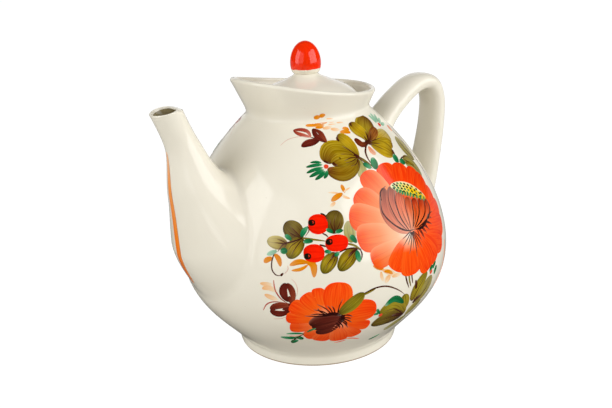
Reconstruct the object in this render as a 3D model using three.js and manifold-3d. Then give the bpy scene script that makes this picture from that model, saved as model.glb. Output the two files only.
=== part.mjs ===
// Porcelain teapot: a round pot on a turned foot, a slanted flared collar, a hollow spout,
// a loop handle, and a domed lid with an egg-shaped knob.
// Millimetres, Z up, standing on Z = 0. The spout points along -X and the handle along +X.
import * as THREE from "three";
import { mergeVertices } from "three/addons/utils/BufferGeometryUtils.js";
import Module from "manifold-3d";

const wasm = await Module();
wasm.setup();

// Clearance left where two pieces of the pot meet
const seam = 0.3;

// Pot
const bellyRadius = 80;
const bellyHeight = 60;
const bellyFullnessBelow = 25.7;
const bellyFullnessAbove = 20.8;
const neckRadius = 35;
const neckHeight = 141.5;
const shoulderAngle = 47.8;
const shoulderFullness = 44.7;
const potWall = 3.5;

// Turned foot
const footRadius = 48.7;
const footHeight = 8;
const footStep = 1.8;
const footEdge = 0.7;
const footRingWidth = 6;
const footRecess = 3.5;
const floorThickness = 4;
const flankAngle = 37.3;
const flankFullness = 18.5;

// Lid seat in the mouth of the pot
const mouthRadius = 27.5;
const seatThickness = 4;

// Flared collar, highest over the spout
const collarWall = 2.8;
const collarFlare = 0.452;
const collarHeight = 14.5;
const collarSlant = 5.6;
const collarSaddle = 1.4;
const collarLip = 0.9;

// Spout, as a run of ovals from inside the pot to the mouth.
// Each centre is given by how far it stands out past the belly, and its height.
const spoutWall = 3;
const spoutCentres = [[-38, 48], [-28, 67], [-16.5, 87.5], [-4, 110.5], [3, 134], [10, 154]];
const spoutDepths = [31.5, 32.6, 29.9, 16.4, 9, 8.2];
const spoutBreadths = [41, 41.7, 34.8, 18.9, 10.1, 9.2];
const spoutMouthTilt = 11;
const spoutMouthLength = 0.2;

// Strainer holes behind the spout
const strainerHoleRadius = 2.2;
const strainerPitch = 9;
const strainerHeight = 78;
const strainerRows = [3, 4, 3];
const holeSides = 8;

// Handle, as a run of rounded straps from the shoulder to the belly, placed as the spout is
const handleCentres = [
  [-34, 114],
  [-23, 126.5],
  [-10, 137],
  [4, 144.3],
  [15.5, 143.5],
  [20.8, 133],
  [19.8, 116],
  [15.5, 96],
  [10, 77],
  [2, 62],
  [-8, 55],
];
const handleThicknesses = [8, 6, 5.4, 5.2, 5.2, 5.1, 5.1, 5.4, 5.8, 6.8, 8.4];
const handleWidths = [14, 10.6, 9.8, 9.6, 9.6, 9.8, 10.2, 11, 12, 13.4, 16];
const strapSquareness = 2.5;
const ovalSquareness = 2;

// Lid
const lidClearance = 0.5;
const lidRadius = neckRadius - collarWall - lidClearance;
const lidEdgeHeight = 4;
const lidRise = 20;
const lidNeckRadius = 6.8;
const lidShell = 3.4;
const lidBevel = 1;
const flangeClearance = 0.8;
const flangeWall = 3;
const flangeDepth = 10;
const ventRadius = 1.6;
const ventDistance = 17;

// Outline of the lid's dome, as shares of its reach inwards and its rise,
// and how far each of those points of its hollow lies inwards and down for a shell of 1 mm
const domeOutline = [[0, 0], [0.18, 0.32], [0.42, 0.57], [0.72, 0.76], [0.92, 0.9], [1, 1]];
const domeHollow = [[1, 1], [0.6, 0.8], [0, 1], [0, 1], [0.5, 1], [0.5, 1]];

// Knob
const knobRadius = 8.8;
const knobHeight = 18;
const knobWaist = 5.6;
const knobFootRadius = 6.7;

// Fineness of the faceted surfaces
const roundSteps = 48;
const outlineSteps = 9;
const spoutSteps = 16;
const spoutSides = 24;
const handleSteps = 30;
const handleSides = 16;
const knobSteps = 7;

// Glaze of the pot and enamel of the knob
const ivoryGlaze = 0xebe6d8;
const redEnamel = 0xf23c08;
const glossRoughness = 0.15;

// A point of an outline, given as radius and height
function at(radius, height) {
  return new THREE.Vector2(radius, height);
}

// A closed mesh as a solid that can be joined or cut
function solidFrom(geometry) {
  const bare = new THREE.BufferGeometry();
  bare.setAttribute("position", geometry.getAttribute("position").clone());
  bare.setIndex(geometry.index);
  const merged = mergeVertices(bare, 1e-4);
  const mesh = new wasm.Mesh({
    numProp: 3,
    vertProperties: merged.getAttribute("position").array,
    triVerts: new Uint32Array(merged.index.array),
  });
  return new wasm.Manifold(mesh);
}

function geometryFrom(solid) {
  const mesh = solid.getMesh();
  const geometry = new THREE.BufferGeometry();
  geometry.setAttribute("position", new THREE.BufferAttribute(mesh.vertProperties, 3));
  geometry.setIndex(new THREE.BufferAttribute(mesh.triVerts, 1));
  geometry.computeVertexNormals();
  return geometry;
}

function turned(outline, steps = roundSteps) {
  return new THREE.LatheGeometry(outline, steps).rotateX(Math.PI / 2);
}

// Skin over a run of rings with equal point counts, either closed round on itself or capped
function skinned(rings, closed) {
  const sides = rings[0].length;
  const positions = rings.flat().flatMap((point) => point.toArray());
  const faces = [];
  const spans = closed ? rings.length : rings.length - 1;
  for (let i = 0; i < spans; i++) {
    const next = (i + 1) % rings.length;
    for (let j = 0; j < sides; j++) {
      const k = (j + 1) % sides;
      faces.push(i * sides + j, i * sides + k, next * sides + k);
      faces.push(i * sides + j, next * sides + k, next * sides + j);
    }
  }
  if (!closed) {
    const last = (rings.length - 1) * sides;
    for (let j = 1; j < sides - 1; j++) {
      faces.push(0, j + 1, j);
      faces.push(last, last + j, last + j + 1);
    }
  }
  const geometry = new THREE.BufferGeometry();
  geometry.setAttribute("position", new THREE.Float32BufferAttribute(positions, 3));
  geometry.setIndex(faces);
  return geometry;
}

// Outline of the pot's skin from the foot to the neck, moved inwards by a depth
function potSkin(depth) {
  const flank = THREE.MathUtils.degToRad(flankAngle);
  const shoulder = THREE.MathUtils.degToRad(shoulderAngle);
  const flankStart = at(footRadius + footStep, footHeight);
  const neck = at(neckRadius, neckHeight);
  const lower = new THREE.CubicBezierCurve(
    flankStart,
    at(
      flankStart.x + flankFullness * Math.sin(flank),
      flankStart.y + flankFullness * Math.cos(flank),
    ),
    at(bellyRadius, bellyHeight - bellyFullnessBelow),
    at(bellyRadius, bellyHeight),
  );
  const upper = new THREE.CubicBezierCurve(
    at(bellyRadius, bellyHeight),
    at(bellyRadius, bellyHeight + bellyFullnessAbove),
    at(
      neck.x + shoulderFullness * Math.sin(shoulder),
      neck.y - shoulderFullness * Math.cos(shoulder),
    ),
    neck,
  );
  const skin = [];
  for (const curve of [lower, upper]) {
    for (let i = curve === lower ? 0 : 1; i <= outlineSteps; i++) {
      const point = curve.getPointAt(i / outlineSteps);
      const along = curve.getTangentAt(i / outlineSteps);
      skin.push(at(point.x - depth * along.y, point.y + depth * along.x));
    }
  }
  return skin;
}

// Radius at a height on an outline that runs down from point to point
function radiusAt(outline, height) {
  const below = outline.findIndex((point) => point.y < height);
  const lower = outline.at(below);
  const upper = outline.at(below < 1 ? -2 : below - 1);
  return upper.x + ((lower.x - upper.x) * (upper.y - height)) / (upper.y - lower.y);
}

// The pot's outer form with a skin of air round it, which trims whatever is luted on
function potForm() {
  const skin = potSkin(-seam);
  const outline = [at(0, 0), at(footRadius + seam, 0), ...skin, at(0, skin.at(-1).y)];
  return solidFrom(turned(outline));
}

function drill(radius, length) {
  return new THREE.CylinderGeometry(radius, radius, length, holeSides);
}

function strainerDrills() {
  const drills = [];
  strainerRows.forEach((count, row) => {
    const height = strainerHeight + (row - (strainerRows.length - 1) / 2) * strainerPitch;
    for (let i = 0; i < count; i++) {
      const side = (i - (count - 1) / 2) * strainerPitch;
      const reach = bellyRadius / 2;
      drills.push(
        solidFrom(drill(strainerHoleRadius, reach).rotateZ(Math.PI / 2)
          .translate(-bellyRadius, side, height)),
      );
    }
  });
  return drills;
}

function bodyGeometry() {
  const inner = potSkin(potWall).reverse();
  const floor = footRecess + floorThickness;
  const seatUnderside = neckHeight - seatThickness;
  const outline = [
    at(0, footRecess),
    at(footRadius - footEdge - footRingWidth, footRecess),
    at(footRadius - footEdge - footRingWidth, 0),
    at(footRadius - footEdge, 0),
    at(footRadius, footEdge),
    at(footRadius, footHeight - footStep),
    ...potSkin(0),
    at(mouthRadius, neckHeight),
    at(mouthRadius, seatUnderside),
    at(radiusAt(inner, seatUnderside), seatUnderside),
    ...inner.filter((point) => point.y > floor && point.y < seatUnderside),
    at(radiusAt(inner, floor), floor),
    at(0, floor),
  ];
  let body = solidFrom(turned(outline));
  for (const hole of strainerDrills()) {
    body = body.subtract(hole);
  }
  return geometryFrom(body);
}

// Height of the collar at an angle measured from the handle
function collarRise(angle) {
  return collarHeight - collarSlant * Math.cos(angle) + collarSaddle * Math.cos(2 * angle);
}

function collarGeometry() {
  const rings = [];
  for (let i = 0; i < roundSteps; i++) {
    const angle = (2 * Math.PI * i) / roundSteps;
    const rise = collarRise(angle);
    const outline = [
      at(neckRadius, 0),
      at(neckRadius - collarWall, 0),
      at(neckRadius + collarFlare * (rise - collarLip) - collarWall, rise - collarLip),
      at(neckRadius + collarFlare * rise - collarWall + collarLip, rise),
      at(neckRadius + collarFlare * rise - collarLip, rise),
      at(neckRadius + collarFlare * (rise - collarLip), rise - collarLip),
    ];
    rings.push(
      outline.map((point) => {
        const height = neckHeight + seam + point.y;
        return new THREE.Vector3(point.x * Math.cos(angle), point.x * Math.sin(angle), height);
      }),
    );
  }
  return skinned(rings, true);
}

// Curve through centres given by their distance out past the belly and their height
function centreline(centres) {
  return new THREE.SplineCurve(centres.map(([out, height]) => at(bellyRadius + out, height)));
}

// Ovals of the spout on the handle's side, drawn in by a wall; the last stretch turns with the mouth
function spoutRings(wall) {
  const centres = centreline(spoutCentres);
  const halves = new THREE.SplineCurve(spoutDepths.map((depth, i) => at(depth, spoutBreadths[i])));
  const mouthTilt = THREE.MathUtils.degToRad(spoutMouthTilt);
  const rings = [];
  for (let i = 0; i <= spoutSteps; i++) {
    const t = i / spoutSteps;
    const centre = centres.getPoint(t);
    const half = halves.getPoint(t);
    const along = centres.getTangent(t);
    const lean = Math.atan2(along.x, along.y);
    const turn = THREE.MathUtils.smoothstep(t, 1 - spoutMouthLength, 1);
    const tilt = THREE.MathUtils.lerp(lean, mouthTilt, turn);
    rings.push(ovalRing(centre, tilt, half.x - wall, half.y - wall, spoutSides, ovalSquareness));
  }
  return rings;
}

// An oval in the plane of spout and handle, square across a direction that leans out by a tilt
function ovalRing(centre, tilt, halfDepth, halfBreadth, sides, squareness) {
  const ring = [];
  for (let j = 0; j < sides; j++) {
    const angle = (2 * Math.PI * j) / sides;
    const depth = halfDepth * rounded(Math.cos(angle), squareness);
    const breadth = halfBreadth * rounded(Math.sin(angle), squareness);
    ring.push(
      new THREE.Vector3(
        centre.x + depth * Math.cos(tilt),
        breadth,
        centre.y - depth * Math.sin(tilt),
      ),
    );
  }
  return ring;
}

function rounded(value, squareness) {
  return Math.sign(value) * Math.abs(value) ** (2 / squareness);
}

// A run of rings made longer at one end by a copy of its last ring
function carriedOn(rings, reach) {
  const [before, last] = rings.slice(-2);
  const further = last.map((point, j) => {
    const step = point.clone().sub(before[j]);
    return point.clone().addScaledVector(step, reach / step.length());
  });
  return [...rings, further];
}

function spoutGeometry() {
  const shell = solidFrom(skinned(spoutRings(0), false));
  const bore = solidFrom(skinned(carriedOn(spoutRings(spoutWall), spoutWall), false));
  return geometryFrom(shell.subtract(bore).subtract(potForm())).rotateZ(Math.PI);
}

function handleGeometry() {
  const centres = centreline(handleCentres);
  const halves = new THREE.SplineCurve(handleThicknesses.map((t, i) => at(t, handleWidths[i])));
  const rings = [];
  for (let i = 0; i <= handleSteps; i++) {
    const t = i / handleSteps;
    const along = centres.getTangent(t);
    const half = halves.getPoint(t);
    const tilt = Math.atan2(along.x, along.y);
    rings.push(
      ovalRing(centres.getPoint(t), tilt, half.x, half.y, handleSides, strapSquareness),
    );
  }
  return geometryFrom(solidFrom(skinned(rings, false)).subtract(potForm()));
}

// Outline of the lid's dome from the edge up to the neck under the knob, or of its hollow below
function domeSkin(depth) {
  const edge = neckHeight + seam + lidEdgeHeight;
  const top = neckHeight + lidRise;
  const reach = lidRadius - lidNeckRadius;
  const rise = top - edge;
  const points = domeOutline.map(([inwards, upwards], i) => {
    const [inFor1, downFor1] = domeHollow[i];
    return at(
      lidRadius - inwards * reach - inFor1 * depth,
      edge + upwards * rise - downFor1 * depth,
    );
  });
  return new THREE.SplineCurve(points).getPoints(outlineSteps + 1);
}

function lidGeometry() {
  const seat = neckHeight + seam;
  const flangeRadius = mouthRadius - flangeClearance;
  const hollow = domeSkin(lidShell).filter((point) => point.x < flangeRadius - flangeWall);
  const outline = [
    at(0, hollow.at(-1).y),
    ...hollow.reverse(),
    at(flangeRadius - flangeWall, hollow.at(-1).y),
    at(flangeRadius - flangeWall, seat - flangeDepth),
    at(flangeRadius, seat - flangeDepth),
    at(flangeRadius, seat),
    at(lidRadius - lidBevel, seat),
    at(lidRadius, seat + lidBevel),
    ...domeSkin(0),
    at(0, neckHeight + lidRise),
  ];
  const vent = drill(ventRadius, 2 * lidRise).rotateX(Math.PI / 2);
  vent.translate(ventDistance, 0, neckHeight + lidRise);
  return geometryFrom(solidFrom(turned(outline)).subtract(solidFrom(vent)));
}

function knobGeometry() {
  const foot = neckHeight + lidRise + seam;
  const outline = [at(0, foot), at(knobFootRadius, foot)];
  for (let i = 1; i < knobSteps; i++) {
    const angle = (Math.PI / 2) * (i / knobSteps);
    const swell = (knobRadius - knobFootRadius) * Math.sin(angle);
    outline.push(at(knobFootRadius + swell, foot + knobWaist * (1 - Math.cos(angle))));
  }
  for (let i = 0; i < knobSteps; i++) {
    const angle = (Math.PI / 2) * (i / knobSteps);
    const rise = (knobHeight - knobWaist) * Math.sin(angle);
    outline.push(at(knobRadius * Math.cos(angle), foot + knobWaist + rise));
  }
  outline.push(at(0, foot + knobHeight));
  return turned(outline, roundSteps / 2);
}

function piece(name, geometry, color) {
  const look = { color, roughness: glossRoughness, metalness: 0 };
  const material = new THREE.MeshStandardMaterial(look);
  const mesh = new THREE.Mesh(geometry, material);
  mesh.name = name;
  return mesh;
}

const pot = new THREE.Group();
pot.add(piece("body", bodyGeometry(), ivoryGlaze));
pot.add(piece("collar", collarGeometry(), ivoryGlaze));
pot.add(piece("spout", spoutGeometry(), ivoryGlaze));
pot.add(piece("handle", handleGeometry(), ivoryGlaze));

const lid = new THREE.Group();
lid.add(piece("lid", lidGeometry(), ivoryGlaze));
lid.add(piece("knob", knobGeometry(), redEnamel));

// The origin lies under the middle of the whole length, from spout to handle
const whole = new THREE.Group();
whole.add(pot, lid);
const extent = new THREE.Box3().setFromObject(whole, true);
whole.position.x = -(extent.min.x + extent.max.x) / 2;

const teapot = new THREE.Group();
teapot.add(whole);
export default teapot;
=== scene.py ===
import math

import bpy
import numpy as np
from mathutils import Matrix, Vector


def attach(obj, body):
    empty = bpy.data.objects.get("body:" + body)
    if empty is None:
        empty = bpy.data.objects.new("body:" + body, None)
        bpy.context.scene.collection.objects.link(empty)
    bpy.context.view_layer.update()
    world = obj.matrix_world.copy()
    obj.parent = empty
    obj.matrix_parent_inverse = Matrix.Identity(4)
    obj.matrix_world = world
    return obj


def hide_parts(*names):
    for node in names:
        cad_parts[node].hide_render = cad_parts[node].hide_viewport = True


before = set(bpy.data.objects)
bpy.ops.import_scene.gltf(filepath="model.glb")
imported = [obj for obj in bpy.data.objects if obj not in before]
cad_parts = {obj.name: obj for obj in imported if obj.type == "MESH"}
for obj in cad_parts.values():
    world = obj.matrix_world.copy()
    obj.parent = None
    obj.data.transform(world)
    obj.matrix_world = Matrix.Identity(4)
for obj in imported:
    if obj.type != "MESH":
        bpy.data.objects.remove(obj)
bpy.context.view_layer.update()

# Studio: a camera a little above the collar, a white table that runs out of sight, and three
# softboxes. The left and front ones stand side by side like a window, and the right one lights the
# large flower.
mm = 0.001
pot_axis = -4.0429
scene = bpy.context.scene


def linear(colour):
    """A hex colour as the linear values that a shader takes."""
    parts = [int(colour[i:i + 2], 16) / 255 for i in (1, 3, 5)]
    return [c / 12.92 if c <= 0.04045 else ((c + 0.055) / 1.055) ** 2.4 for c in parts] + [1.0]


def add_node(tree, kind, inputs=None, **settings):
    """Adds one node, sets it, and fills its inputs with values or with other nodes' outputs."""
    node = tree.nodes.new(kind)
    for name, value in settings.items():
        setattr(node, name, value)
    for name, value in (inputs or {}).items():
        if isinstance(value, bpy.types.NodeSocket):
            tree.links.new(value, node.inputs[name])
        else:
            node.inputs[name].default_value = value
    return node


def new_material(name):
    """A material with an empty node tree, and that tree."""
    material = bpy.data.materials.new(name)
    material.use_nodes = True
    material.node_tree.nodes.clear()
    return material, material.node_tree


camera_distance = 444.21
camera_height = 228.96
camera_lens = 45.59
camera_azimuth = math.radians(-126)
camera_heading = math.radians(-35.521)
camera_pitch = math.radians(71.779)
camera_roll = math.radians(-2.839)
camera_data = bpy.data.cameras.new("camera")
camera_data.lens = camera_lens
camera = bpy.data.objects.new("camera", camera_data)
scene.collection.objects.link(camera)
camera_place = Vector((
    pot_axis + camera_distance * math.cos(camera_azimuth),
    camera_distance * math.sin(camera_azimuth),
    camera_height,
)) * mm
camera.matrix_world = (
    Matrix.Translation(camera_place)
    @ Matrix.Rotation(camera_heading, 4, "Z")
    @ Matrix.Rotation(camera_pitch, 4, "X")
    @ Matrix.Rotation(camera_roll, 4, "Z")
)
scene.camera = camera
scene.view_settings.view_transform = "Standard"

table_size = 12
way_to_backdrop = (0.58, 0.81, 0.0)
bpy.ops.object.select_all(action="DESELECT")
bpy.ops.mesh.primitive_plane_add(size=table_size, location=(0, 0, 0))
table = bpy.context.object
table.name = "table"
white_table, tree = new_material("white_table_laminate")
table_seen = add_node(tree, "ShaderNodeLightPath")
table_lit = add_node(tree, "ShaderNodeBsdfDiffuse", {"Color": linear("#D2D1CD")})
table_mirrored = add_node(tree, "ShaderNodeMath", {
    0: table_seen.outputs["Is Glossy Ray"], 1: table_seen.outputs["Is Transmission Ray"]
}, operation="MAXIMUM")
table_behind = add_node(tree, "ShaderNodeVectorMath", {
    0: add_node(tree, "ShaderNodeTexCoord").outputs["Object"], 1: way_to_backdrop
}, operation="DOT_PRODUCT")
table_backlit = add_node(tree, "ShaderNodeMapRange", {
    "Value": table_behind.outputs["Value"], "From Min": 0.0, "From Max": 0.4,
    "To Min": 0.04, "To Max": 0.3
})
table_glossed = add_node(tree, "ShaderNodeMath", {
    0: table_mirrored.outputs[0], 1: table_backlit.outputs[0]
}, operation="MULTIPLY")
table_glow = add_node(tree, "ShaderNodeMath", {
    0: table_seen.outputs["Is Camera Ray"], 1: 1.17, 2: table_glossed.outputs[0]
}, operation="MULTIPLY_ADD")
table_white = add_node(tree, "ShaderNodeEmission", {
    "Color": linear("#FFFFFF"), "Strength": table_glow.outputs[0]
})
table_share = add_node(tree, "ShaderNodeMath", {
    0: table_seen.outputs["Is Camera Ray"], 1: 0.84, 2: table_mirrored.outputs[0]
}, operation="MULTIPLY_ADD")
table_mix = add_node(tree, "ShaderNodeMixShader", {
    0: table_share.outputs[0], 1: table_lit.outputs[0], 2: table_white.outputs[0]
})
add_node(tree, "ShaderNodeOutputMaterial", {"Surface": table_mix.outputs[0]})
table.data.materials.append(white_table)

world = bpy.data.worlds.new("studio")
world.use_nodes = True
scene.world = world
tree = world.node_tree
tree.nodes.clear()
world_seen = add_node(tree, "ShaderNodeLightPath")
world_reflecting = add_node(tree, "ShaderNodeMath", {
    0: world_seen.outputs["Is Glossy Ray"], 1: world_seen.outputs["Is Transmission Ray"]
}, operation="MAXIMUM")
world_way = add_node(tree, "ShaderNodeTexCoord").outputs["Generated"]
towards_backdrop = add_node(tree, "ShaderNodeVectorMath", {
    0: world_way, 1: way_to_backdrop
}, operation="DOT_PRODUCT")
backdrop_white = add_node(tree, "ShaderNodeMapRange", {
    "Value": towards_backdrop.outputs["Value"], "From Min": 0.78, "From Max": 0.98,
    "To Min": 0.02, "To Max": 1.0
})
upwards = add_node(tree, "ShaderNodeSeparateXYZ", {"Vector": world_way})
ceiling = add_node(tree, "ShaderNodeMapRange", {
    "Value": upwards.outputs["Z"], "From Min": 0.0, "From Max": 1.0, "To Min": 0.44, "To Max": 0.34
})
world_fill = add_node(tree, "ShaderNodeBackground", {
    "Color": linear("#FAF6EC"), "Strength": ceiling.outputs[0]
})
world_mirrored = add_node(tree, "ShaderNodeBackground", {
    "Color": linear("#FFFFFF"), "Strength": backdrop_white.outputs[0]
})
world_white = add_node(tree, "ShaderNodeBackground", {"Color": linear("#FFFFFF"), "Strength": 1.0})
world_lit = add_node(tree, "ShaderNodeMixShader", {
    0: world_reflecting.outputs[0], 1: world_fill.outputs[0], 2: world_mirrored.outputs[0]
})
world_mix = add_node(tree, "ShaderNodeMixShader", {
    0: world_seen.outputs["Is Camera Ray"], 1: world_lit.outputs[0], 2: world_white.outputs[0]
})
add_node(tree, "ShaderNodeOutputWorld", {"Surface": world_mix.outputs[0]})


lamp_target = Vector((0, 0, 0.08))
lamp_distance = 1.4
lamp_elevation = math.radians(22)


def softbox(name, azimuth, width, height, radiance):
    """A rectangular softbox at a bearing from the pot, turned to face it."""
    lamp = bpy.data.lights.new(name, "AREA")
    lamp.shape = "RECTANGLE"
    lamp.size = width
    lamp.size_y = height
    lamp.energy = radiance * math.pi * width * height
    lamp_object = bpy.data.objects.new(name, lamp)
    scene.collection.objects.link(lamp_object)
    level = math.cos(lamp_elevation)
    azimuth = math.radians(azimuth)
    away = Vector((level * math.cos(azimuth), level * math.sin(azimuth), math.sin(lamp_elevation)))
    lamp_object.location = lamp_target + lamp_distance * away
    lamp_object.rotation_euler = away.to_track_quat("Z", "Y").to_euler()


softbox("softbox_left", azimuth=-192, width=0.8, height=1.2, radiance=2.7)
softbox("softbox_front", azimuth=-157, width=0.75, height=1.1, radiance=1.05)
softbox("softbox_right", azimuth=-62, width=1.5, height=1.15, radiance=2.9)

# Pot: the round body of the teapot, slip-cast porcelain with a turned foot ring and a seat for the
# lid. It is glazed inside and out, and behind the spout its wall is pierced as a strainer. The
# belly is drawn in by a quarter of a millimetre, which the painted enamel takes up.
belly_radius = 79.75
belly_height = 60
neck_radius = 35
neck_height = 141.5
pot_wall = 3.5
foot_radius = 48.7
foot_height = 8
foot_edge = 0.7
foot_ring_width = 6
foot_line = 0.65
underside_height = 3.5
floor_top = 7.5
seat_radius = 27.5
seat_corner = 0.8
seat_underside = neck_height - 4
flank_angle = math.radians(37.3)
shoulder_angle = math.radians(47.8)
flank_pull = 18.5
belly_pull_below = 25.7
belly_pull_above = 20.8
shoulder_pull = 44.7
drill_length = 40


def bezier(start, first, second, end, steps):
    """Points of a cubic curve between two points of an outline, as radius and height."""
    t = np.linspace(0, 1, steps + 1)[:, None]
    a, b, c, d = (np.array(p, float) for p in (start, first, second, end))
    return (1 - t) ** 3 * a + 3 * (1 - t) ** 2 * t * b + 3 * (1 - t) * t * t * c + t ** 3 * d


def arc(centre, radius, first, last, steps=6):
    """Points of a round corner, between two bearings in degrees."""
    bearings = np.radians(np.linspace(first, last, steps + 1))
    return np.array(centre) + radius * np.stack([np.cos(bearings), np.sin(bearings)], 1)


flank_start = np.array([foot_radius + 1.8, foot_height])
flank_way = np.array([math.sin(flank_angle), math.cos(flank_angle)])
shoulder_way = np.array([math.sin(shoulder_angle), -math.cos(shoulder_angle)])
neck = np.array([neck_radius, neck_height])
flank = bezier(
    flank_start, flank_start + flank_pull * flank_way,
    (belly_radius, belly_height - belly_pull_below), (belly_radius, belly_height), 40
)
shoulder = bezier(
    (belly_radius, belly_height), (belly_radius, belly_height + belly_pull_above),
    neck + shoulder_pull * shoulder_way, neck, 48
)
pot_skin = np.vstack([flank, shoulder[1:]])


def unit(ways):
    """Each way brought to a length of one."""
    return ways / np.linalg.norm(ways, axis=-1)[..., None]


def crosswise(way):
    """The way turned a quarter to its left."""
    return np.stack([-way[..., 1], way[..., 0]], -1)


def moved_in(outline, depth):
    """The outline of the inner wall, a depth inside the outer one."""
    return outline + depth * crosswise(unit(np.gradient(outline, axis=0)))


def turned(name, outline, steps):
    """A form thrown on the wheel: its outline is drawn point by point and spun round the pot's axis."""
    bpy.ops.object.select_all(action="DESELECT")
    points = np.array(outline, float) * mm
    bpy.ops.mesh.primitive_plane_add(size=mm, location=(pot_axis * mm + points[0][0], 0, points[0][1]))
    form = bpy.context.object
    form.name = form.data.name = name
    bpy.ops.object.mode_set(mode="EDIT")
    bpy.ops.mesh.merge(type="CENTER")
    for step in np.diff(points, axis=0):
        bpy.ops.mesh.extrude_region_move(TRANSFORM_OT_translate={"value": (step[0], 0, step[1])})
    bpy.ops.mesh.select_all(action="SELECT")
    bpy.ops.mesh.spin(
        steps=steps, angle=2 * math.pi, center=(pot_axis * mm, 0, 0), axis=(0, 0, 1)
    )
    bpy.ops.mesh.select_all(action="SELECT")
    bpy.ops.mesh.remove_doubles(threshold=1e-7)
    bpy.ops.mesh.normals_make_consistent(inside=False)
    bpy.ops.object.mode_set(mode="OBJECT")
    bpy.ops.object.transform_apply(location=True, rotation=True, scale=True)
    return form


def finished(form, sharp_angle=40):
    """Shades a piece smooth but for its true edges."""
    bpy.ops.object.select_all(action="DESELECT")
    bpy.context.view_layer.objects.active = form
    form.select_set(True)
    bpy.ops.object.shade_smooth_by_angle(angle=math.radians(sharp_angle))
    form.select_set(False)


def pierced(form, name, drill):
    """Cuts a drill's holes through a wall, as they are pierced in the soft clay, and removes the drill."""
    piercing = form.modifiers.new(name, "BOOLEAN")
    piercing.object = drill
    piercing.operation = "DIFFERENCE"
    piercing.solver = "EXACT"
    bpy.context.view_layer.objects.active = form
    bpy.ops.object.modifier_apply(modifier=name)
    bpy.data.objects.remove(drill)


inner_wall = moved_in(pot_skin, pot_wall)[::-1]
inner_wall = inner_wall[(inner_wall[:, 1] < seat_underside) & (inner_wall[:, 1] > floor_top)]
ring_inside = foot_radius - foot_edge - foot_ring_width
foot_band_top = flank_start + 1.4 * flank_way
pot_outline = np.vstack([
    [(0, underside_height)],
    arc((ring_inside - 1.5, underside_height - 1.5), 1.5, 90, 0),
    arc((ring_inside + 0.5, foot_line + 0.5), 0.5, 180, 270, 3),
    arc((foot_radius - 0.6, foot_line + 0.6), 0.6, 270, 360, 4),
    bezier((foot_radius, 4.2), (foot_radius, 6.4), foot_band_top - 2.4 * flank_way, foot_band_top, 8),
    pot_skin[pot_skin[:, 1] > foot_band_top[1] + 0.4],
    arc((seat_radius + seat_corner, neck_height - seat_corner), seat_corner, 90, 180, 4),
    arc((seat_radius + seat_corner, seat_underside + seat_corner), seat_corner, 180, 270, 4),
    inner_wall[1:],
    bezier(inner_wall[-1], inner_wall[-1] - (1.2, 2.2), (44, floor_top), (38, floor_top), 6)[1:],
    [(0, floor_top)],
])
pot = turned("pot_body", pot_outline, steps=160)

strainer_hole_radius = 2.2
strainer_pitch = 9
strainer_height = 78
strainer_rows = (3, 4, 3)
drills = []
for row, count in enumerate(strainer_rows):
    for i in range(count):
        bpy.ops.mesh.primitive_cylinder_add(
            vertices=20, radius=strainer_hole_radius * mm, depth=drill_length * mm,
            rotation=(0, math.pi / 2, 0),
            location=(
                (pot_axis - belly_radius) * mm,
                (i - (count - 1) / 2) * strainer_pitch * mm,
                (strainer_height + (row - 1) * strainer_pitch) * mm,
            ),
        )
        drills.append(bpy.context.object)
bpy.ops.object.select_all(action="DESELECT")
for drill in drills:
    drill.select_set(True)
bpy.context.view_layer.objects.active = drills[0]
bpy.ops.object.join()
pierced(pot, "strainer", bpy.context.object)
finished(pot)


def porcelain_glaze(name, pale, deep, roughness):
    """Clear gloss glaze over ivory porcelain: the colour pools a little deeper in slow clouds, the
    surface has the faint orange peel of a dipped glaze, and a few iron specks show."""
    material, tree = new_material(name)
    place = add_node(tree, "ShaderNodeTexCoord").outputs["Object"]
    clouds = add_node(tree, "ShaderNodeTexNoise", {
        "Vector": place, "Scale": 28.0, "Detail": 2.0, "Roughness": 0.5
    })
    glaze = add_node(tree, "ShaderNodeMix", {
        "Factor": clouds.outputs["Fac"], 6: linear(pale), 7: linear(deep)
    }, data_type="RGBA")
    specks = add_node(tree, "ShaderNodeTexVoronoi", {
        "Vector": place, "Scale": 130.0, "Randomness": 1.0
    })
    speck_size = add_node(tree, "ShaderNodeMapRange", {
        "Value": specks.outputs["Distance"], "From Min": 0.02, "From Max": 0.035,
        "To Min": 0.35, "To Max": 0.0
    })
    speckled = add_node(tree, "ShaderNodeMix", {
        "Factor": speck_size.outputs[0], 6: glaze.outputs[2], 7: linear("#A08C6C")
    }, data_type="RGBA")
    waves = add_node(tree, "ShaderNodeTexNoise", {
        "Vector": place, "Scale": 75.0, "Detail": 1.0, "Roughness": 0.4
    })
    wavy = add_node(tree, "ShaderNodeBump", {
        "Height": waves.outputs["Fac"], "Strength": 0.12, "Distance": 0.001
    })
    shader = add_node(tree, "ShaderNodeBsdfPrincipled", {
        "Base Color": speckled.outputs[2], "Roughness": roughness, "IOR": 1.5,
        "Normal": wavy.outputs[0]
    })
    add_node(tree, "ShaderNodeOutputMaterial", {"Surface": shader.outputs[0]})
    return material


ivory_glaze = porcelain_glaze("ivory_glazed_porcelain", "#F3EFE2", "#EEE8D9", 0.1)
pot.data.materials.append(ivory_glaze)
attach(pot, "pot")
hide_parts("body")

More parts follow.
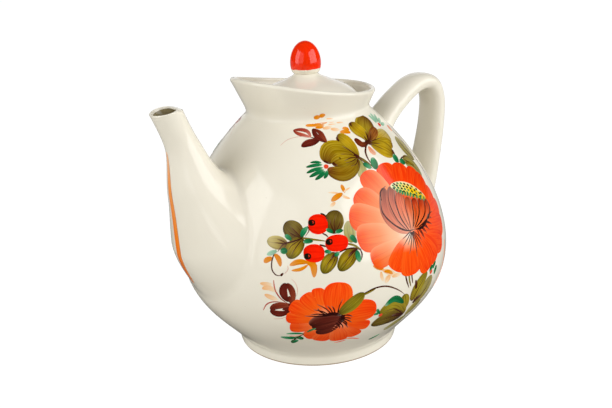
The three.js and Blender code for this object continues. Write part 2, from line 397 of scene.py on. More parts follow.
# Foot rim: the glaze is wiped off the ring that the pot stands on before firing, so a narrow line
# of bare porcelain shows there, rough and stained pale brown.
foot_rim = turned("foot_rim", np.vstack([
    arc((ring_inside + 0.6, 0.5), 0.5, 90, 270, 4),
    arc((foot_radius - 0.8, 0.6), 0.6, 270, 450, 8),
    [(ring_inside + 0.6, 1.0)],
]), steps=128)
finished(foot_rim)
bare_porcelain, tree = new_material("bare_biscuit_porcelain")
place = add_node(tree, "ShaderNodeTexCoord").outputs["Object"]
grain = add_node(tree, "ShaderNodeTexNoise", {"Vector": place, "Scale": 900.0, "Detail": 3.0})
stain = add_node(tree, "ShaderNodeMix", {
    "Factor": grain.outputs["Fac"], 6: linear("#B79C78"), 7: linear("#8F7250")
}, data_type="RGBA")
rough = add_node(tree, "ShaderNodeBump", {
    "Height": grain.outputs["Fac"], "Strength": 0.4, "Distance": 0.0004
})
shader = add_node(tree, "ShaderNodeBsdfPrincipled", {
    "Base Color": stain.outputs[2], "Roughness": 0.75, "Normal": rough.outputs[0]
})
add_node(tree, "ShaderNodeOutputMaterial", {"Surface": shader.outputs[0]})
foot_rim.data.materials.append(bare_porcelain)
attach(foot_rim, "pot")

# Collar: the flared ring round the lid, thrown apart and luted on the neck. Its rim slants, highest
# over the spout, and is rounded over; glaze has pooled in the crease where it meets the shoulder.
collar_base = neck_height + 0.3
collar_wall = 2.8
collar_flare = 0.452
collar_height = 14.5
collar_lip = collar_wall / 2
rim_slant = 5.6
rim_bow = 1.4


def collar_rise(angle):
    """Height of the rim over the collar's base, at an angle round the pot."""
    return collar_height - rim_slant * np.cos(angle) + rim_bow * np.cos(2 * angle)


def on_flare(height, inwards=0.0):
    """A point of the flare's outline over the collar's base, or so far inside it."""
    return np.array([neck_radius + collar_flare * height - inwards, collar_base + height])


crease_on_pot = neck + 2.6 * shoulder_way
crease = bezier(crease_on_pot, neck + 0.9 * shoulder_way, on_flare(0.8), on_flare(2.8), 8)
lip_centre = on_flare(collar_height - collar_lip, collar_lip)
collar = turned("flared_collar", np.vstack([
    [(33.5, 139.5), (34.5, 138.8), crease_on_pot - (0.15, 0.1)],
    crease,
    on_flare(5.5), on_flare(8), on_flare(10.5),
    arc(lip_centre, collar_lip, -24, 204, 14),
    on_flare(10, collar_wall), on_flare(7, collar_wall), on_flare(4, collar_wall),
    on_flare(1.5, collar_wall),
    bezier(on_flare(1.2, collar_wall), on_flare(0.2, collar_wall), (31.9, neck_height), (31, 141.45), 4),
    [(31.5, 140.5), (33.5, 139.5)],
]), steps=160)
for vertex in collar.data.vertices:
    x, y = vertex.co.x / mm - pot_axis, vertex.co.y / mm
    angle = math.atan2(y, x)
    height = vertex.co.z / mm - collar_base
    if height > 0:
        share = min(1.0, height / (collar_height - 2 * collar_lip))
        added = share * (collar_rise(angle) - collar_height)
        radius = math.hypot(x, y) + collar_flare * added
        vertex.co = Vector((
            pot_axis + radius * math.cos(angle), radius * math.sin(angle), collar_base + height + added
        )) * mm
finished(collar, 60)
collar.data.materials.append(ivory_glaze)
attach(collar, "pot")
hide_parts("collar")

# Spout: slip-cast as a hollow horn, trimmed to the belly and luted over the strainer. A fillet of
# slip and glaze runs round its root, and its mouth is fettled round. Its bore is glazed a dark
# brown-grey, which is painted shade for the dim inside of the spout.
spout_wall = 3
spout_centres = [(42, 48), (52, 67), (63.5, 87.5), (76, 110.5), (82.4, 134), (90, 154)]
spout_halves = [(31.5, 41), (32.6, 41.7), (29.9, 34.8), (16.4, 18.9), (9, 10.1), (8.2, 9.2)]
spout_mouth_tilt = math.radians(11)
mouth_share = 0.2
luting_reach = 3.0
luting_sunk = 0.6


def through(points, t):
    """A smooth curve through the points, read at shares t of its run."""
    points = np.array(points, float)
    spans = len(points) - 1
    t = np.clip(np.asarray(t, float), 0, 1) * spans
    i = np.minimum(t.astype(int), spans - 1)
    w = (t - i)[..., None]
    before, here = points[np.maximum(i - 1, 0)], points[i]
    there, after = points[i + 1], points[np.minimum(i + 2, spans)]
    leave, arrive = (there - before) / 2, (after - here) / 2
    return (
        (2 * here - 2 * there + leave + arrive) * w ** 3
        + (3 * there - 3 * here - 2 * leave - arrive) * w ** 2
        + leave * w + here
    )


def along_at(points, t):
    """Direction of that curve, as the way it leans out and the way it climbs."""
    step = 1e-4
    return unit(through(points, np.minimum(t + step, 1)) - through(points, np.maximum(t - step, 0)))


def ovals(centre, half, bearing, squareness, tilt):
    """Points of the ovals round a centreline, at bearings round each oval."""
    def eased(value):
        return np.sign(value) * np.abs(value) ** (2 / squareness)
    depth = half[..., 0] * eased(np.cos(bearing))
    breadth = half[..., 1] * eased(np.sin(bearing))
    return np.stack([
        centre[..., 0] + depth * np.cos(tilt), breadth, centre[..., 1] - depth * np.sin(tilt)
    ], -1)


def skin_radius(height):
    """Radius of the pot's skin at a height."""
    return np.interp(height, pot_skin[:, 1], pot_skin[:, 0])


def spout_at(t, bearing, drawn_in=0.0):
    """Points of the spout's outside, or so far inside it. Its ovals tip over towards the mouth."""
    along = along_at(spout_centres, t)
    lean = np.arctan2(along[..., 0], along[..., 1])
    turn = np.clip((t - (1 - mouth_share)) / mouth_share, 0, 1)
    turn = turn * turn * (3 - 2 * turn)
    tilt = lean + (spout_mouth_tilt - lean) * turn
    half = through(spout_halves, t) - np.asarray(drawn_in)[..., None]
    return ovals(through(spout_centres, t), half, bearing, 2, tilt)


def handle_at(t, bearing):
    """Points of the handle's surface. Its ovals are a little squared, as a pulled strap is."""
    along = along_at(handle_centres, t)
    tilt = np.arctan2(along[..., 0], along[..., 1])
    return ovals(through(handle_centres, t), through(handle_halves, t), bearing, 2.5, tilt)


def leaves_pot(surface, bearing, last):
    """Share of the run at which each line along a luted piece comes out of the pot's skin."""
    t = np.linspace(0.0, last, 900)
    place = surface(t[:, None], bearing[None, :])
    out = np.hypot(place[..., 0], place[..., 1]) - skin_radius(place[..., 2])
    inside = np.where(out < 0, np.arange(len(t))[:, None], -1).max(0)
    inside = np.clip(inside, 0, len(t) - 2)
    lines = np.arange(len(bearing))
    a, b = out[inside, lines], out[inside + 1, lines]
    return t[inside] + (t[1] - t[0]) * a / (a - b)


def onto_skin(place, lift=0.0):
    """The point of the pot's skin at the same bearing and height, or a little above it."""
    bearing = np.arctan2(place[..., 1], place[..., 0])
    radius = skin_radius(place[..., 2]) + lift
    return np.stack([radius * np.cos(bearing), radius * np.sin(bearing), place[..., 2]], -1)


def luting(surface, bearing, leave, end):
    """Rings of the fillet between a luted piece and the pot: along the skin, then up the piece."""
    crossing = surface(leave, bearing)
    t = np.array([leave + (end - leave) * s for s in np.linspace(0, 0.5, 200)])
    line = surface(t, bearing[None, :])
    length = np.cumsum(np.linalg.norm(np.diff(line, axis=0), axis=2), axis=0)
    rise = np.array([t[1 + np.argmax(length[:, j] > luting_reach), j] for j in range(len(bearing))])
    above = surface(rise, bearing)
    away = crossing - crossing.mean(0)
    normal = unit(onto_skin(crossing, 1.0) - onto_skin(crossing))
    away = unit(away - (away * normal).sum(1)[:, None] * normal)
    aside = onto_skin(crossing + luting_reach * away, -0.03)
    rings = [onto_skin(crossing + (luting_reach + luting_sunk) * away, -luting_sunk)]
    for w in np.linspace(0, 1, 8):
        rings.append((1 - w) ** 2 * aside + 2 * (1 - w) * w * crossing + w * w * above)
    return rings, rise


def tube(name, rings, mirrored):
    """A run of rings: a circle is extruded straight up, once for each ring, and its rings are then
    set to their places. The first and the last ring stay selected, to be closed in edit mode."""
    sides = len(rings[0])
    bpy.ops.object.select_all(action="DESELECT")
    bpy.ops.mesh.primitive_circle_add(vertices=sides, radius=1, location=(0, 0, 0))
    form = bpy.context.object
    form.name = form.data.name = name
    bpy.ops.object.mode_set(mode="EDIT")
    for _ in rings[1:]:
        bpy.ops.mesh.extrude_region_move(TRANSFORM_OT_translate={"value": (0, 0, 1)})
    bpy.ops.object.mode_set(mode="OBJECT")
    side = -1 if mirrored else 1
    ends = []
    for vertex in form.data.vertices:
        ring = round(vertex.co.z)
        j = round(math.atan2(vertex.co.y, vertex.co.x) / (2 * math.pi) * sides) % sides
        x, y, z = rings[ring][j]
        vertex.co = ((pot_axis + side * x) * mm, y * mm, z * mm)
        ends.append(ring in (0, len(rings) - 1))
    bpy.ops.object.mode_set(mode="EDIT")
    bpy.ops.mesh.select_all(action="DESELECT")
    bpy.ops.object.mode_set(mode="OBJECT")
    for vertex, at_end in zip(form.data.vertices, ends):
        vertex.select = at_end
    for edge in form.data.edges:
        edge.select = all(ends[v] for v in edge.vertices)
    bpy.ops.object.mode_set(mode="EDIT")
    return form


def close_tube(bridged):
    """Joins the two end rings of the tube in hand, or closes each of them, and leaves edit mode."""
    if bridged:
        bpy.ops.mesh.bridge_edge_loops()
    else:
        bpy.ops.mesh.fill_holes(sides=0)
    bpy.ops.mesh.select_all(action="SELECT")
    bpy.ops.mesh.normals_make_consistent(inside=False)
    bpy.ops.object.mode_set(mode="OBJECT")


spout_sides = 96
spout_steps = 56
bore_steps = 40
flare_start = 0.93
bore_eased = 0.12
bearing = np.arange(spout_sides) * 2 * math.pi / spout_sides
leave = leaves_pot(spout_at, bearing, last=0.9)
spout_rings, rise = luting(spout_at, bearing, leave, end=1.0)
pour_side = (1 + np.cos(bearing)) / 2
lip_depth = 0.5 + 3.5 * (1 - pour_side) ** 4
lip_drop = 0.9 + 3.0 * (1 - pour_side) ** 3
lip_bead = 0.5
lip_flare = 0.14 * pour_side
last_span = np.linalg.norm(np.subtract(spout_centres[-1], spout_centres[-2]))
spout_spans = len(spout_centres) - 1
mouth_start = 1 - lip_drop / last_span / spout_spans
bore_start = 1 - lip_bead / last_span / spout_spans
for w in np.linspace(0, 1, spout_steps)[1:]:
    flared = -lip_flare * max(0.0, (w - flare_start) / (1 - flare_start)) ** 2
    spout_rings.append(spout_at(rise + (mouth_start - rise) * w, bearing, flared))
top = np.ones(spout_sides)
lean, climb = along_at(spout_centres, np.float64(1))
for b in np.linspace(0, math.pi / 2, 9)[1:]:
    lip = spout_at(top, bearing, lip_depth * (1 - math.cos(b)) - lip_flare * math.cos(b))
    spout_rings.append(lip - (lip_drop * (1 - math.sin(b)))[:, None] * np.array([lean, 0, climb]))
for b in np.linspace(math.pi / 2, math.pi, 7)[1:]:
    lip = spout_at(top, bearing, lip_depth - lip_bead * math.cos(b))
    spout_rings.append(lip - lip_bead * (1 - math.sin(b)) * np.array([lean, 0, climb]))
first_bore_ring = len(spout_rings)
bore_leave = leaves_pot(lambda t, b: spout_at(t, b, spout_wall), bearing, last=0.9)
for w in np.linspace(0, 1, bore_steps)[1:]:
    eased_in = spout_wall + (lip_depth + lip_bead - spout_wall) * max(0.0, 1 - w / bore_eased)
    spout_rings.append(spout_at(bore_start + (bore_leave - bore_start) * w, bearing, eased_in))
spout_rings.append(onto_skin(spout_rings[-1], -0.8))
spout = tube("pouring_spout", spout_rings, mirrored=True)
close_tube(bridged=True)
finished(spout, 60)
spout.data.materials.append(ivory_glaze)
# The bore's dark brown-grey glaze is painted shade for the dim inside of the spout.
spout.data.materials.append(porcelain_glaze("bore_painted_shade_glaze", "#9C8F6C", "#857856", 0.16))
for face in spout.data.polygons:
    if min(face.vertices) >= first_bore_ring * spout_sides:
        face.material_index = 1
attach(spout, "pot")
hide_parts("spout")

# Handle: a pulled strap, slightly flattened, bent to a tall loop and luted on the shoulder and on
# the belly with slip, which is smoothed to a fillet at both ends.
handle_centres = [
    (46, 114), (57, 126.5), (70, 137), (84, 144.3), (95.5, 143.5), (100.75, 133),
    (99.8, 116), (95.5, 96), (90, 77), (82, 62), (72, 55),
]
handle_halves = [
    (8, 14), (6, 10.6), (5.4, 9.8), (5.2, 9.6), (5.2, 9.6), (5.1, 9.8),
    (5.1, 10.2), (5.4, 11), (5.8, 12), (6.8, 13.4), (8.4, 16),
]
handle_sides = 64
handle_steps = 110
bearing = np.arange(handle_sides) * 2 * math.pi / handle_sides
upper_leave = leaves_pot(handle_at, bearing, last=0.4)
lower_leave = 1 - leaves_pot(lambda t, b: handle_at(1 - t, b), bearing, last=0.4)
upper_rings, upper_rise = luting(handle_at, bearing, upper_leave, end=0.6)
lower_rings, lower_rise = luting(handle_at, bearing, lower_leave, end=0.4)
handle_rings = list(upper_rings)
for w in np.linspace(0, 1, handle_steps)[1:-1]:
    handle_rings.append(handle_at(upper_rise + (lower_rise - upper_rise) * w, bearing))
handle_rings += lower_rings[::-1]
handle = tube("loop_handle", handle_rings, mirrored=False)
close_tube(bridged=False)
finished(handle, 60)
handle.data.materials.append(ivory_glaze)
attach(handle, "pot")
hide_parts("handle")

# Lid: a shallow dome that rises to a narrow neck for the knob, with a steam hole, and a flange below
# that keeps it from sliding out when the pot is tipped.
lid_gap = 0.5
lid_radius = neck_radius - collar_wall - lid_gap
lid_edge = collar_base + 4
lid_top = neck_height + 20
lid_wall = 3.2
lid_neck = 6.8
flange_radius = 26.7
flange_corner_height = collar_base - 9.2
steam_hole_radius = 1.6
steam_hole_place = 17
dome_shares = [(0, 0), (0.18, 0.32), (0.42, 0.57), (0.72, 0.76), (0.92, 0.9), (1, 1)]
dome = through([
    (lid_radius - i * (lid_radius - lid_neck), lid_edge + u * (lid_top - lid_edge)) for i, u in dome_shares
], np.linspace(0, 1, 41))
hollow = moved_in(dome, lid_wall)[::-1]
hollow = hollow[(hollow[:, 0] > 1) & (hollow[:, 0] < flange_radius - 3.5)]
lid = turned("domed_lid", np.vstack([
    [(0, hollow[0][1])],
    hollow,
    [(flange_radius - 3, hollow[-1][1] - 1)],
    arc((flange_radius - 2.2, flange_corner_height), 0.8, 180, 270, 4),
    arc((flange_radius - 0.8, flange_corner_height), 0.8, 270, 360, 4),
    [(flange_radius, collar_base - 0.5), (flange_radius + 0.5, collar_base)],
    arc((lid_radius - 1.2, collar_base + 1.2), 1.2, 270, 360, 5),
    dome[1:-1],
    [(lid_neck, lid_top), (lid_neck - 0.3, lid_top + 0.5), (0, lid_top + 0.5)],
]), steps=144)
bpy.ops.mesh.primitive_cylinder_add(
    vertices=24, radius=steam_hole_radius * mm, depth=drill_length * mm,
    location=((pot_axis + steam_hole_place) * mm, 0, lid_top * mm),
)
pierced(lid, "steam_hole", bpy.context.object)
finished(lid, 50)
lid.data.materials.append(ivory_glaze)
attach(lid, "lid")
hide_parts("lid")

# Knob: a small porcelain egg luted on the lid's neck. It was dipped in orange-red enamel, which ends
# in an uneven line near its foot and leaves the white porcelain showing below.
knob_radius = 8.8
knob_root_radius = 6.7
knob_height = 18
knob_waist = 5.6
knob_foot = lid_top + 0.3
dip_line = knob_foot + 2.9
dip_blur = 0.25
turns = np.linspace(0, math.pi / 2, 15)
swell = np.stack([
    knob_root_radius + (knob_radius - knob_root_radius) * np.sin(turns),
    knob_foot + knob_waist * (1 - np.cos(turns)),
], 1)
crown = np.stack([
    knob_radius * np.cos(turns), knob_foot + knob_waist + (knob_height - knob_waist) * np.sin(turns)
], 1)
knob = turned("lid_knob", np.vstack([[(0, knob_foot)], swell, crown[1:-1], [(0, crown[-1][1])]]), steps=96)
finished(knob, 50)
knob_enamel, tree = new_material("red_enamelled_porcelain")
place = add_node(tree, "ShaderNodeTexCoord").outputs["Object"]
axes = add_node(tree, "ShaderNodeSeparateXYZ", {"Vector": place})
ragged = add_node(tree, "ShaderNodeTexNoise", {"Vector": place, "Scale": 260.0, "Detail": 2.0})
line = add_node(tree, "ShaderNodeMath", {
    0: ragged.outputs["Fac"], 1: 0.0011, 2: axes.outputs["Z"]
}, operation="MULTIPLY_ADD")
dipped = add_node(tree, "ShaderNodeMapRange", {
    "Value": line.outputs[0], "From Min": dip_line * mm, "From Max": (dip_line + dip_blur) * mm,
    "To Min": 0.0, "To Max": 1.0
})
thickness = add_node(tree, "ShaderNodeTexNoise", {"Vector": place, "Scale": 150.0, "Detail": 2.0})
enamel = add_node(tree, "ShaderNodeMix", {
    "Factor": thickness.outputs["Fac"], 6: linear("#FF2800"), 7: linear("#F23400")
}, data_type="RGBA")
colour = add_node(tree, "ShaderNodeMix", {
    "Factor": dipped.outputs[0], 6: linear("#EFE9D8"), 7: enamel.outputs[2]
}, data_type="RGBA")
shader = add_node(tree, "ShaderNodeBsdfPrincipled", {
    "Base Color": colour.outputs[2], "Roughness": 0.12, "IOR": 1.5
})
add_node(tree, "ShaderNodeOutputMaterial", {"Surface": shader.outputs[0]})
knob.data.materials.append(knob_enamel)
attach(knob, "lid")
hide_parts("knob")

# Large flower: the main bloom of the bouquet, painted over the glaze in enamel with a soft brush and
# fired again. Seventeen broad petal strokes run out from the foot of the seed pod, one over another,
# and the pod's ribs, its seeds and the fine dark stamens are laid on top of them.
large_flower_place = (-83.5, 82.5)
enamel_first = 0.02
enamel_step = 0.006
enamel_depth = 0.3
enamel_rim = 0.12
enamel_sunk = 0.05
stroke_mesh = 0.85
thinnest_share = 0.05
edge_tone_start = 0.15
on_rim = 1 - 1e-4
streak_shift = 31.7
streak_starts = 29
# Each brush shape: its width at the root, the share of the stroke where it is pressed most, and how
# it swells up to there and closes after it.
brush_shapes = {
    "petal": (0.1, 0.78, 1.4, 0.5), "lobe": (0.12, 0.6, 0.9, 0.55), "leaf": (0.06, 0.5, 0.75, 0.7),
    "dab": (0.25, 0.4, 0.5, 0.8), "round": (0.0, 0.5, 0.5, 0.5), "line": (0.3, 0.4, 0.5, 0.6),
    "broad": (0.1, 0.6, 1.2, 0.5),
}


def run_along(line):
    """How far along a line each of its points lies."""
    return np.concatenate([[0], np.cumsum(np.linalg.norm(np.diff(line, axis=0), axis=1))])


skin_run = run_along(pot_skin)
skin_along = unit(np.gradient(pot_skin, axis=0))


def laid_at(skin, runs, along, run, place, across, lift):
    """Radius, bearing and height of points over a turned skin, so far along its outline."""
    radius = np.interp(run, runs, skin[:, 0])
    bearing = math.radians(place[0]) + across / radius
    radius = radius + lift * np.interp(run, runs, along[:, 1])
    height = np.interp(run, runs, skin[:, 1]) - lift * np.interp(run, runs, along[:, 0])
    return radius, bearing, height


def round_axis(radius, bearing, height):
    """Points set round the pot's axis."""
    return np.stack([pot_axis + radius * np.cos(bearing), radius * np.sin(bearing), height], -1)


def laid_on_pot(place, across, up, lift):
    """Points of the pot's skin, so many millimetres right of a place and above it."""
    run = np.interp(place[1], pot_skin[:, 1], skin_run) + up
    return round_axis(*laid_at(pot_skin, skin_run, skin_along, run, place, across, lift))


def brush_stroke(place, shape, width, load, path, layer, laid=laid_on_pot):
    """One stroke of enamel: a grid drawn out along its path over the glaze, as wide as the brush was
    pressed, with its rim sunk into the glaze. Its colours run along it and towards its two edges."""
    path = np.array(path, float)
    length = run_along(path)[-1]
    rows, columns = max(7, math.ceil(length / stroke_mesh)), max(4, math.ceil(width / stroke_mesh) + 2)
    bpy.ops.object.select_all(action="DESELECT")
    bpy.ops.mesh.primitive_grid_add(
        x_subdivisions=rows, y_subdivisions=columns, size=2, location=(0, 0, 0)
    )
    stroke = bpy.context.object
    grid = np.empty(len(stroke.data.vertices) * 3)
    stroke.data.vertices.foreach_get("co", grid)
    along, aside = grid[0::3], grid[1::3]
    t = 0.5 - 0.5 * np.cos((along + 1) * math.pi / 2)
    root, peak, swell, close = brush_shapes[shape]
    to_root, to_tip = np.clip((peak - t) / peak, 0, 1), np.clip((t - peak) / (1 - peak), 0, 1)
    press = (root + (1 - root) * (1 - to_root ** 2) ** swell) * (1 - to_tip ** 2) ** close
    half = width / 2 * np.maximum(press, thinnest_share)
    rim = np.abs(aside) > on_rim
    inner = aside / (1 - 2 / columns) * (1 - np.minimum(0.5, enamel_rim / half))
    share = np.where(rim, aside, inner)
    place_on = through(path, t) + (share * half)[:, None] * crosswise(along_at(path, t))
    sunk = rim | (np.abs(along) > on_rim)
    lift = np.where(sunk, -enamel_sunk, enamel_first + enamel_step * layer)
    points = laid(place, place_on[:, 0], place_on[:, 1], lift)
    stroke.data.vertices.foreach_set("co", (points * mm).ravel())
    steps, left, right = load
    shares = [step[0] for step in steps]
    tones = np.array([linear(step[1])[:3] + [step[2]] for step in steps])
    colour = np.stack([np.interp(t, shares, tones[:, k]) for k in range(4)], 1)
    for side, (tone, strength) in ((share, left), (-share, right)):
        edge = np.clip((side - edge_tone_start) / (1 - edge_tone_start), 0, 1)[:, None] ** 2
        colour[:, :3] += strength * edge * (np.array(linear(tone)[:3]) - colour[:, :3])
    painted = stroke.data.attributes.new("paint", "FLOAT_COLOR", "POINT")
    painted.data.foreach_set("color", colour.ravel())
    brush = stroke.data.uv_layers[0]
    brush.name = "brush"
    corners = np.empty(len(stroke.data.loops), dtype=np.int32)
    stroke.data.loops.foreach_get("vertex_index", corners)
    start = streak_shift * (len(bpy.data.meshes) % streak_starts)
    run = np.stack([start + t * length, start + share * width / 2], 1)[corners]
    brush.uv.foreach_set("vector", run.ravel())
    return stroke


def brushed_enamel(name, bristles_per_mm, streak, thin, shade, roughness):
    """Overglaze enamel laid with a soft brush. Its bristles leave thin streaks along each stroke in
    a paler tone, the paint lies darker between them, and the ivory glaze shows where it runs out.
    Black and brown lines are drawn with a fine full brush and keep no streaks. Fired at a lower
    heat, it shines a little less than the glaze under it."""
    material, tree = new_material(name)
    laid_paint = add_node(tree, "ShaderNodeAttribute", attribute_name="paint")
    run = add_node(tree, "ShaderNodeUVMap", uv_map="brush")
    drawn_out = add_node(tree, "ShaderNodeMapping", {
        "Vector": run.outputs["UV"], "Scale": (0.06, bristles_per_mm, 1.0)
    })
    bristles = add_node(tree, "ShaderNodeTexNoise", {
        "Vector": drawn_out.outputs[0], "Scale": 1.0, "Detail": 3.0, "Roughness": 0.6
    })
    opened = add_node(tree, "ShaderNodeMapRange", {
        "Value": bristles.outputs["Fac"], "From Min": 0.45, "From Max": 0.7,
        "To Min": 0.0, "To Max": thin
    })
    pooled = add_node(tree, "ShaderNodeMapRange", {
        "Value": bristles.outputs["Fac"], "From Min": 0.3, "From Max": 0.5,
        "To Min": 1.0 - shade, "To Max": 1.0
    })
    darker = add_node(tree, "ShaderNodeVectorMath", {
        0: laid_paint.outputs["Color"], "Scale": pooled.outputs[0]
    }, operation="SCALE")
    brightness = add_node(tree, "ShaderNodeRGBToBW", {"Color": laid_paint.outputs["Color"]})
    light_paint = add_node(tree, "ShaderNodeMapRange", {
        "Value": brightness.outputs[0], "From Min": 0.01, "From Max": 0.2, "To Min": 0.0, "To Max": 1.0
    })
    streaks = add_node(tree, "ShaderNodeMath", {
        0: opened.outputs[0], 1: light_paint.outputs[0]
    }, operation="MULTIPLY")
    streaked = add_node(tree, "ShaderNodeMix", {
        "Factor": streaks.outputs[0], 6: darker.outputs[0], 7: linear(streak)
    }, data_type="RGBA")
    runs_out = add_node(tree, "ShaderNodeMapRange", {
        "Value": bristles.outputs["Fac"], "From Min": 0.3, "From Max": 0.7, "To Min": 0.25, "To Max": -0.25
    })
    missing = add_node(tree, "ShaderNodeMath", {
        0: 1.0, 1: laid_paint.outputs["Alpha"]
    }, operation="SUBTRACT")
    cover = add_node(tree, "ShaderNodeMath", {
        0: runs_out.outputs[0], 1: missing.outputs[0], 2: laid_paint.outputs["Alpha"]
    }, operation="MULTIPLY_ADD", use_clamp=True)
    colour = add_node(tree, "ShaderNodeMix", {
        "Factor": cover.outputs[0], 6: linear("#F1ECDE"), 7: streaked.outputs[2]
    }, data_type="RGBA")
    ridges = add_node(tree, "ShaderNodeBump", {
        "Height": bristles.outputs["Fac"], "Strength": 0.5, "Distance": 0.00004
    })
    shader = add_node(tree, "ShaderNodeBsdfPrincipled", {
        "Base Color": colour.outputs[2], "Roughness": roughness, "IOR": 1.5,
        "Specular IOR Level": 0.24, "Normal": ridges.outputs[0]
    })
    add_node(tree, "ShaderNodeOutputMaterial", {"Surface": shader.outputs[0]})
    return material


def painted_piece(name, strokes, material):
    """The strokes of one motif made one piece, given their depth and fired on."""
    bpy.ops.object.select_all(action="DESELECT")
    for stroke in strokes:
        stroke.select_set(True)
    bpy.context.view_layer.objects.active = strokes[0]
    bpy.ops.object.join()
    piece = bpy.context.object
    piece.name = piece.data.name = name
    enamel = piece.modifiers.new("enamel", "SOLIDIFY")
    enamel.thickness = enamel_depth * mm
    enamel.offset = -1
    bpy.ops.object.modifier_apply(modifier="enamel")
    finished(piece, 30)
    piece.data.materials.clear()
    piece.data.materials.append(material)
    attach(piece, "pot")


def paint(*steps, left=("#000000", 0), right=("#000000", 0)):
    """A loaded brush: share of the stroke, colour and cover at each step, and the tone and strength
    of its two edges."""
    return steps, left, right


def towards(bearing):
    """A step of one millimetre over the skin, at a bearing in degrees from its right."""
    return np.array([math.cos(math.radians(bearing)), math.sin(math.radians(bearing))])


bright_petal = paint(
    (0, "#FBA070", 0.8), (0.2, "#FB5A0C", 0.97), (0.5, "#FA4602", 1), (1, "#F63600", 1),
    left=("#EA2A00", 0.6), right=("#FC5C0C", 0.5),
)
top_petal = paint(
    (0, "#FBA878", 0.6), (0.4, "#FA5A1C", 0.97), (0.7, "#F93C02", 1), (1, "#F02C00", 1),
    left=("#E82800", 0.5), right=("#FA5A14", 0.6),
)
# The left-hand petals are painted paler. This is partly a thinner wash of enamel and partly a painted
# highlight where the left softbox's reflection falls on them.
pale_petal_painted_highlight = paint(
    (0, "#FFE8D4", 0.3), (0.3, "#FCAC70", 0.75), (0.6, "#FA8440", 0.92), (0.85, "#F65A1C", 1),
    (1, "#EE3C08", 1), left=("#EE4A12", 0.5), right=("#FDB07C", 0.6),
)
low_petal = paint(
    (0, "#FFF4E8", 0.05), (0.25, "#FC9450", 0.7), (0.42, "#FB4E04", 1), (1, "#F83C00", 1),
    left=("#EC2C00", 0.5), right=("#FC6A1A", 0.5),
)
# Each petal: its bearing on the flower, its length, the width of its brush and its paint.
petals = [
    (90, 40, 15.5, top_petal), (70, 39.3, 15.5, top_petal), (51, 39.7, 15, top_petal),
    (36, 40, 14.5, top_petal), (20, 39.5, 14, bright_petal), (4, 41.5, 12.5, bright_petal),
    (111, 40.4, 14.5, pale_petal_painted_highlight), (-11, 41, 14, bright_petal), (-26, 37.5, 13.5, bright_petal),
    (131, 36.6, 15.5, pale_petal_painted_highlight), (153, 36.6, 16.5, pale_petal_painted_highlight), (-44, 31.5, 13.5, bright_petal),
    (174, 33, 15.5, pale_petal_painted_highlight), (-162, 29.3, 12.5, pale_petal_painted_highlight), (-130, 22.8, 13.5, low_petal),
    (-62, 28.2, 15.5, bright_petal), (-98, 23.4, 15.5, low_petal),
]
first_petal = 6
strokes = []
for layer, (bearing, length, width, load) in enumerate(petals):
    tip = towards(bearing) * length
    bow = crosswise(towards(bearing)) * (1.2 if layer % 2 else -0.8)
    strokes.append(brush_stroke(
        large_flower_place, "petal", width, load, [(0, 0), tip * 0.5 + bow, tip], first_petal + layer
    ))
red_enamel = brushed_enamel(
    "orange_red_overglaze_enamel", 1.1, streak="#FF8228", thin=0.4, shade=0.1, roughness=0.12
)
painted_piece("large_flower_petals", strokes, red_enamel)

# The pod's left and middle ribs are painted pale pinkish brown, a painted highlight of the left softbox's
# reflection over its left half. The right ribs keep the pod's own dark red-brown.
left_rib_painted_highlight = paint(
    (0, "#E89274", 0.9), (0.4, "#D87458", 1), (0.75, "#B85C48", 1), (1, "#6A3A2E", 1),
    left=("#8A4A3A", 0.4), right=("#EC9A80", 0.5),
)
middle_rib_painted_highlight = paint(
    (0, "#EE9068", 0.9), (0.5, "#E66C40", 1), (0.8, "#C44E2C", 1), (1, "#84301C", 1),
    left=("#B04A28", 0.5), right=("#F29870", 0.5),
)
right_rib = paint(
    (0, "#F07030", 1), (0.5, "#E04C0C", 1), (0.8, "#B82E08", 1), (1, "#5A1408", 1),
    left=("#8A1E08", 0.6), right=("#F07A3A", 0.4),
)
ribs = [
    (8.8, left_rib_painted_highlight, [(0, 0), (-7.6, 6), (-10.8, 14.5), (-7.0, 27.0)]),
    (7.5, right_rib, [(7, 0), (18, 3.5), (22.5, 7), (22.5, 12.5)]),
    (8.5, left_rib_painted_highlight, [(1, 0), (-4.2, 9), (-5.2, 18), (-1.4, 26.5)]),
    (7, right_rib, [(5.5, 0), (14, 5.5), (17, 10), (18, 14.5)]),
    (7.5, middle_rib_painted_highlight, [(2, 0), (-0.5, 9), (0, 17), (2, 22)]),
    (7, right_rib, [(4, 0), (9, 7), (11, 12), (12, 16)]),
    (7.5, middle_rib_painted_highlight, [(3, 0), (4.2, 8), (5.3, 13), (7, 18)]),
]
dark_line = paint((0, "#2A0A08", 1), (0.7, "#3A100C", 1), (1, "#52201A", 0.8))
rib_lines = [
    (1.1, [(-2, 1.5), (-9.2, 6.6), (-13.8, 14.5), (-11.4, 23)]),
    (0.9, [(-11.8, 20.5), (-10.2, 25.2), (-5.0, 27.6)]),
    (0.8, [(-1, 1), (-6.4, 9), (-7.4, 19), (-3.6, 27)]),
    (1.0, [(0, 1), (-3.4, 9), (-3.2, 18), (-0.5, 24.5)]), (0.8, [(1.5, 1), (2, 8), (2.6, 14), (4.5, 19.5)]),
    (1.1, [(3, 1), (6.8, 8), (8.3, 12.5), (9.5, 17)]), (1.2, [(4.5, 1), (11.5, 6.5), (14, 11), (15, 15.5)]),
    (1.2, [(6, 1), (16, 4.5), (20, 8.5), (20.8, 14)]), (1.3, [(8, 0.5), (21, 2.8), (25.6, 7), (24, 13.2)]),
    (0.6, [(1, 2), (-0.8, 9), (-1, 15)]), (0.7, [(4, 2), (9.5, 8), (11.5, 13)]),
]
first_rib = first_petal + len(petals)
on_ribs = first_rib + len(ribs)
strokes = [
    brush_stroke(large_flower_place, "lobe", width, load, path, first_rib + layer)
    for layer, (width, load, path) in enumerate(ribs)
]
